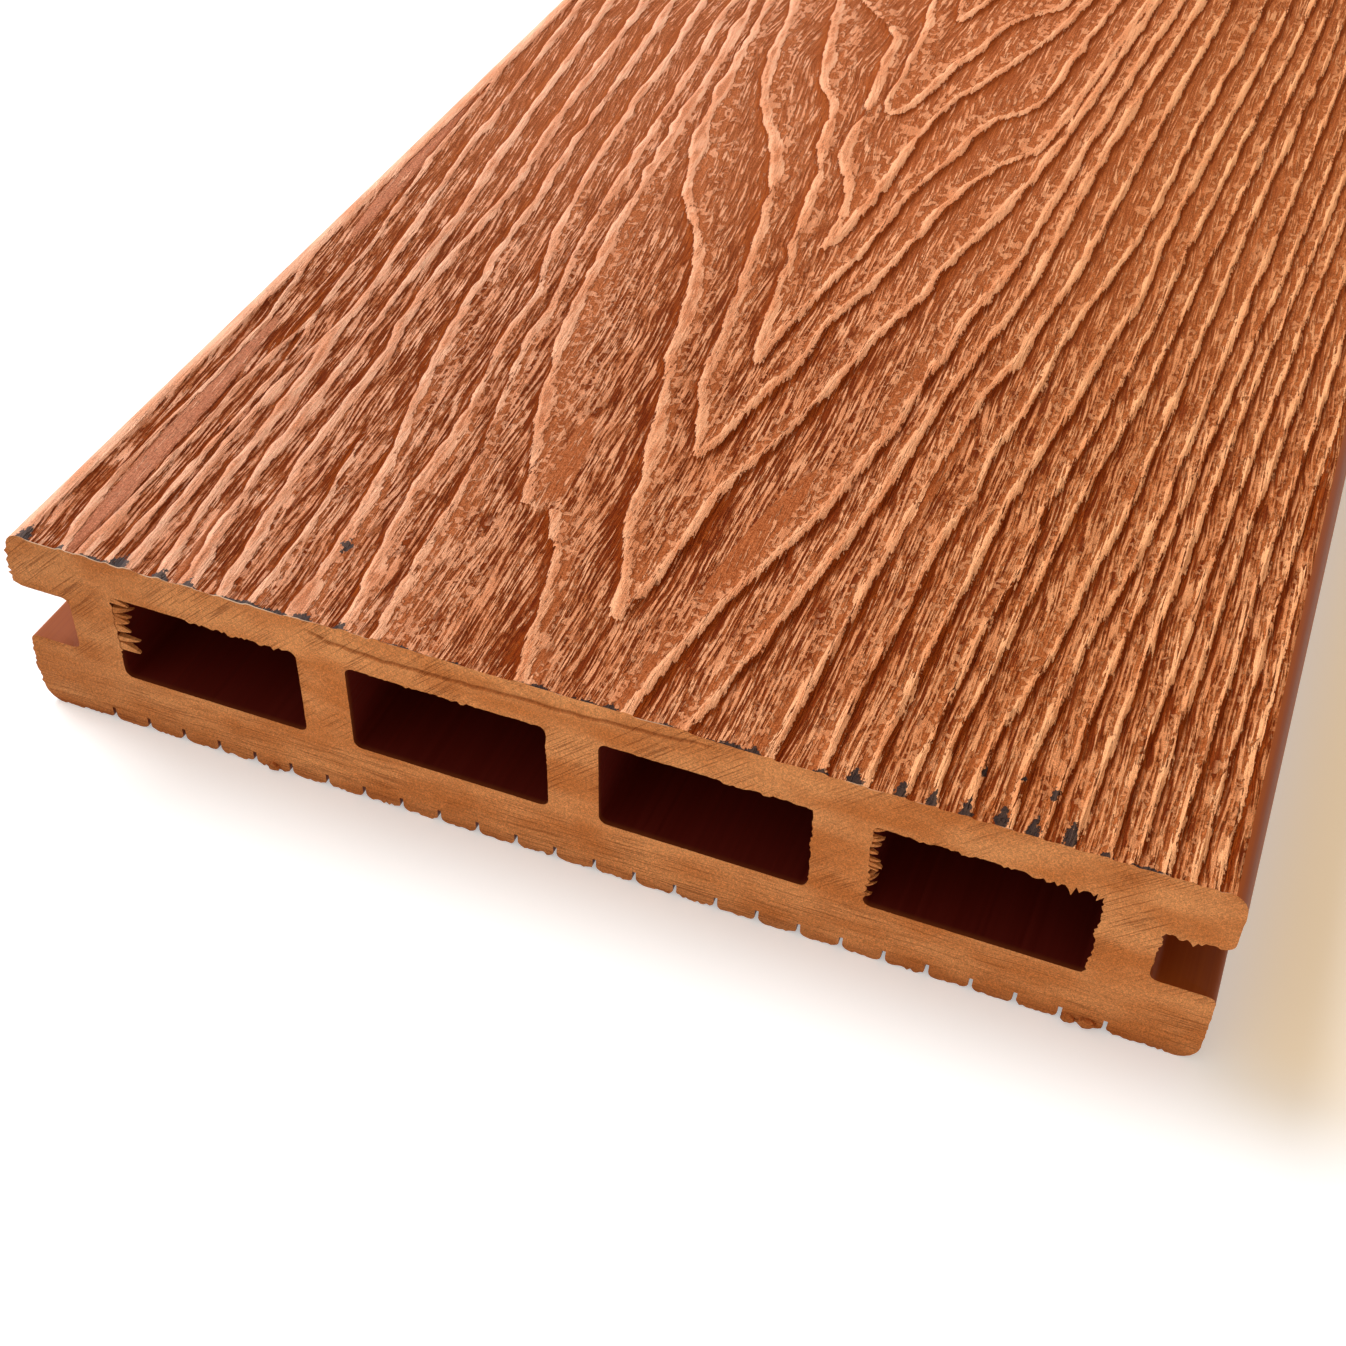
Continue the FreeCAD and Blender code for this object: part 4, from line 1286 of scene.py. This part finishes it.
def make_floor():
    mesh = bpy.data.meshes.new("studio_floor")
    r = FLOOR_REACH
    mesh.from_pydata([(-r, -r, 0), (r, -r, 0), (r, r, 0), (-r, r, 0)], [], [(0, 1, 2, 3)])
    floor = bpy.data.objects.new("studio_floor", mesh)
    bpy.context.scene.collection.objects.link(floor)
    material, n, shader = new_material("white_floor")
    shader.inputs["Base Color"].default_value = (0.8, 0.8, 0.8, 1.0)
    shader.inputs["Roughness"].default_value = 0.9
    # Painted warm shade: beside the board's right side, past the cut, the floor's glow turns beige.
    spot = n.add("ShaderNodeSeparateXYZ")
    n.join(n.where(), spot.inputs[0])
    beside = n.math("MULTIPLY", n.spread(spot.outputs["X"], 66 * MM, 80 * MM),
                    n.spread(spot.outputs["X"], 220 * MM, 110 * MM))
    past_cut = n.spread(spot.outputs["Y"], (NEAR_END - 12) * MM, (NEAR_END + 6) * MM)
    glow_with_painted_warm_shade = n.mix(n.math("MULTIPLY", beside, past_cut), (0.96, 0.98, 1.0, 1.0), (1.06, 0.8, 0.48, 1.0))
    n.join(glow_with_painted_warm_shade, shader.inputs["Emission Color"])
    n.join(n.math("MULTIPLY", seen(n), FLOOR_GLOW), shader.inputs["Emission Strength"])
    mesh.materials.append(material)


def make_light():
    world = bpy.data.worlds.new("studio")
    bpy.context.scene.world = world
    world.use_nodes = True
    world.node_tree.nodes.clear()
    n = Nodes(world.node_tree)
    way = n.add("ShaderNodeSeparateXYZ")
    n.join(n.add("ShaderNodeTexCoord").outputs["Generated"], way.inputs[0])
    rightward = n.spread(way.outputs["X"], -0.8, 0.8)
    frontward = n.spread(way.outputs["Y"], 0.0, -0.9)
    fill = n.add("ShaderNodeBackground")
    warmer = n.spread(way.outputs["X"], -0.5, 0.9)
    n.join(n.mix(warmer, (1.0, 0.94, 0.86, 1.0), (1.0, 0.62, 0.28, 1.0)), fill.inputs["Color"])
    strength = n.math("MULTIPLY_ADD", frontward, 0.3, n.spread(rightward, 0.0, 1.0, 0.64, 0.26))
    n.join(strength, fill.inputs["Strength"])
    white = n.add("ShaderNodeBackground")
    white.inputs["Strength"].default_value = 1.0
    white.inputs["Color"].default_value = (1.0, 1.0, 1.0, 1.0)
    choice = n.add("ShaderNodeMixShader")
    n.join(seen(n), choice.inputs[0])
    n.join(fill.outputs[0], choice.inputs[1])
    n.join(white.outputs[0], choice.inputs[2])
    n.join(choice.outputs[0], n.add("ShaderNodeOutputWorld").inputs["Surface"])

    window = bpy.data.lights.new("window", "SUN")
    window.energy = WINDOW_STRENGTH
    window.angle = math.radians(WINDOW_SPREAD)
    window.color = (0.98, 1.0, 1.03)
    lamp = bpy.data.objects.new("window", window)
    lamp.rotation_euler = Vector(WINDOW_FROM).to_track_quat("Z", "Y").to_euler()
    bpy.context.scene.collection.objects.link(lamp)


# The photograph's viewpoint, fitted to the section's corners.
CAMERA_AT = (58.828, -128.094, 163.136)
CAMERA_AZIMUTH = 20.409
CAMERA_ELEVATION = 43.422
CAMERA_ROLL = 1.629
FOCAL_PIXELS = 1900.3
IMAGE_PIXELS = 1346
SENSOR = 36.0


def make_camera():
    camera = bpy.data.cameras.new("camera")
    camera.sensor_width = SENSOR
    camera.lens = SENSOR * FOCAL_PIXELS / IMAGE_PIXELS
    camera.clip_start = 0.01
    a, e, roll = (math.radians(v) for v in (CAMERA_AZIMUTH, CAMERA_ELEVATION, CAMERA_ROLL))
    back = Vector((math.sin(a) * math.cos(e), -math.cos(a) * math.cos(e), math.sin(e)))
    right = Vector((math.cos(a), math.sin(a), 0.0))
    up = back.cross(right)
    right, up = math.cos(roll) * right + math.sin(roll) * up, math.cos(roll) * up - math.sin(roll) * right
    turn = Matrix((right, up, back)).transposed().to_4x4()
    x, y, z = CAMERA_AT
    place = Matrix.Translation(Vector((x, NEAR_END + y, z)) * MM)
    seat = bpy.data.objects.new("camera", camera)
    seat.matrix_world = place @ turn
    bpy.context.scene.collection.objects.link(seat)
    bpy.context.scene.camera = seat


make_board()
make_floor()
make_light()
make_camera()
bpy.context.scene.view_settings.view_transform = "Standard"
bpy.context.view_layer.update()
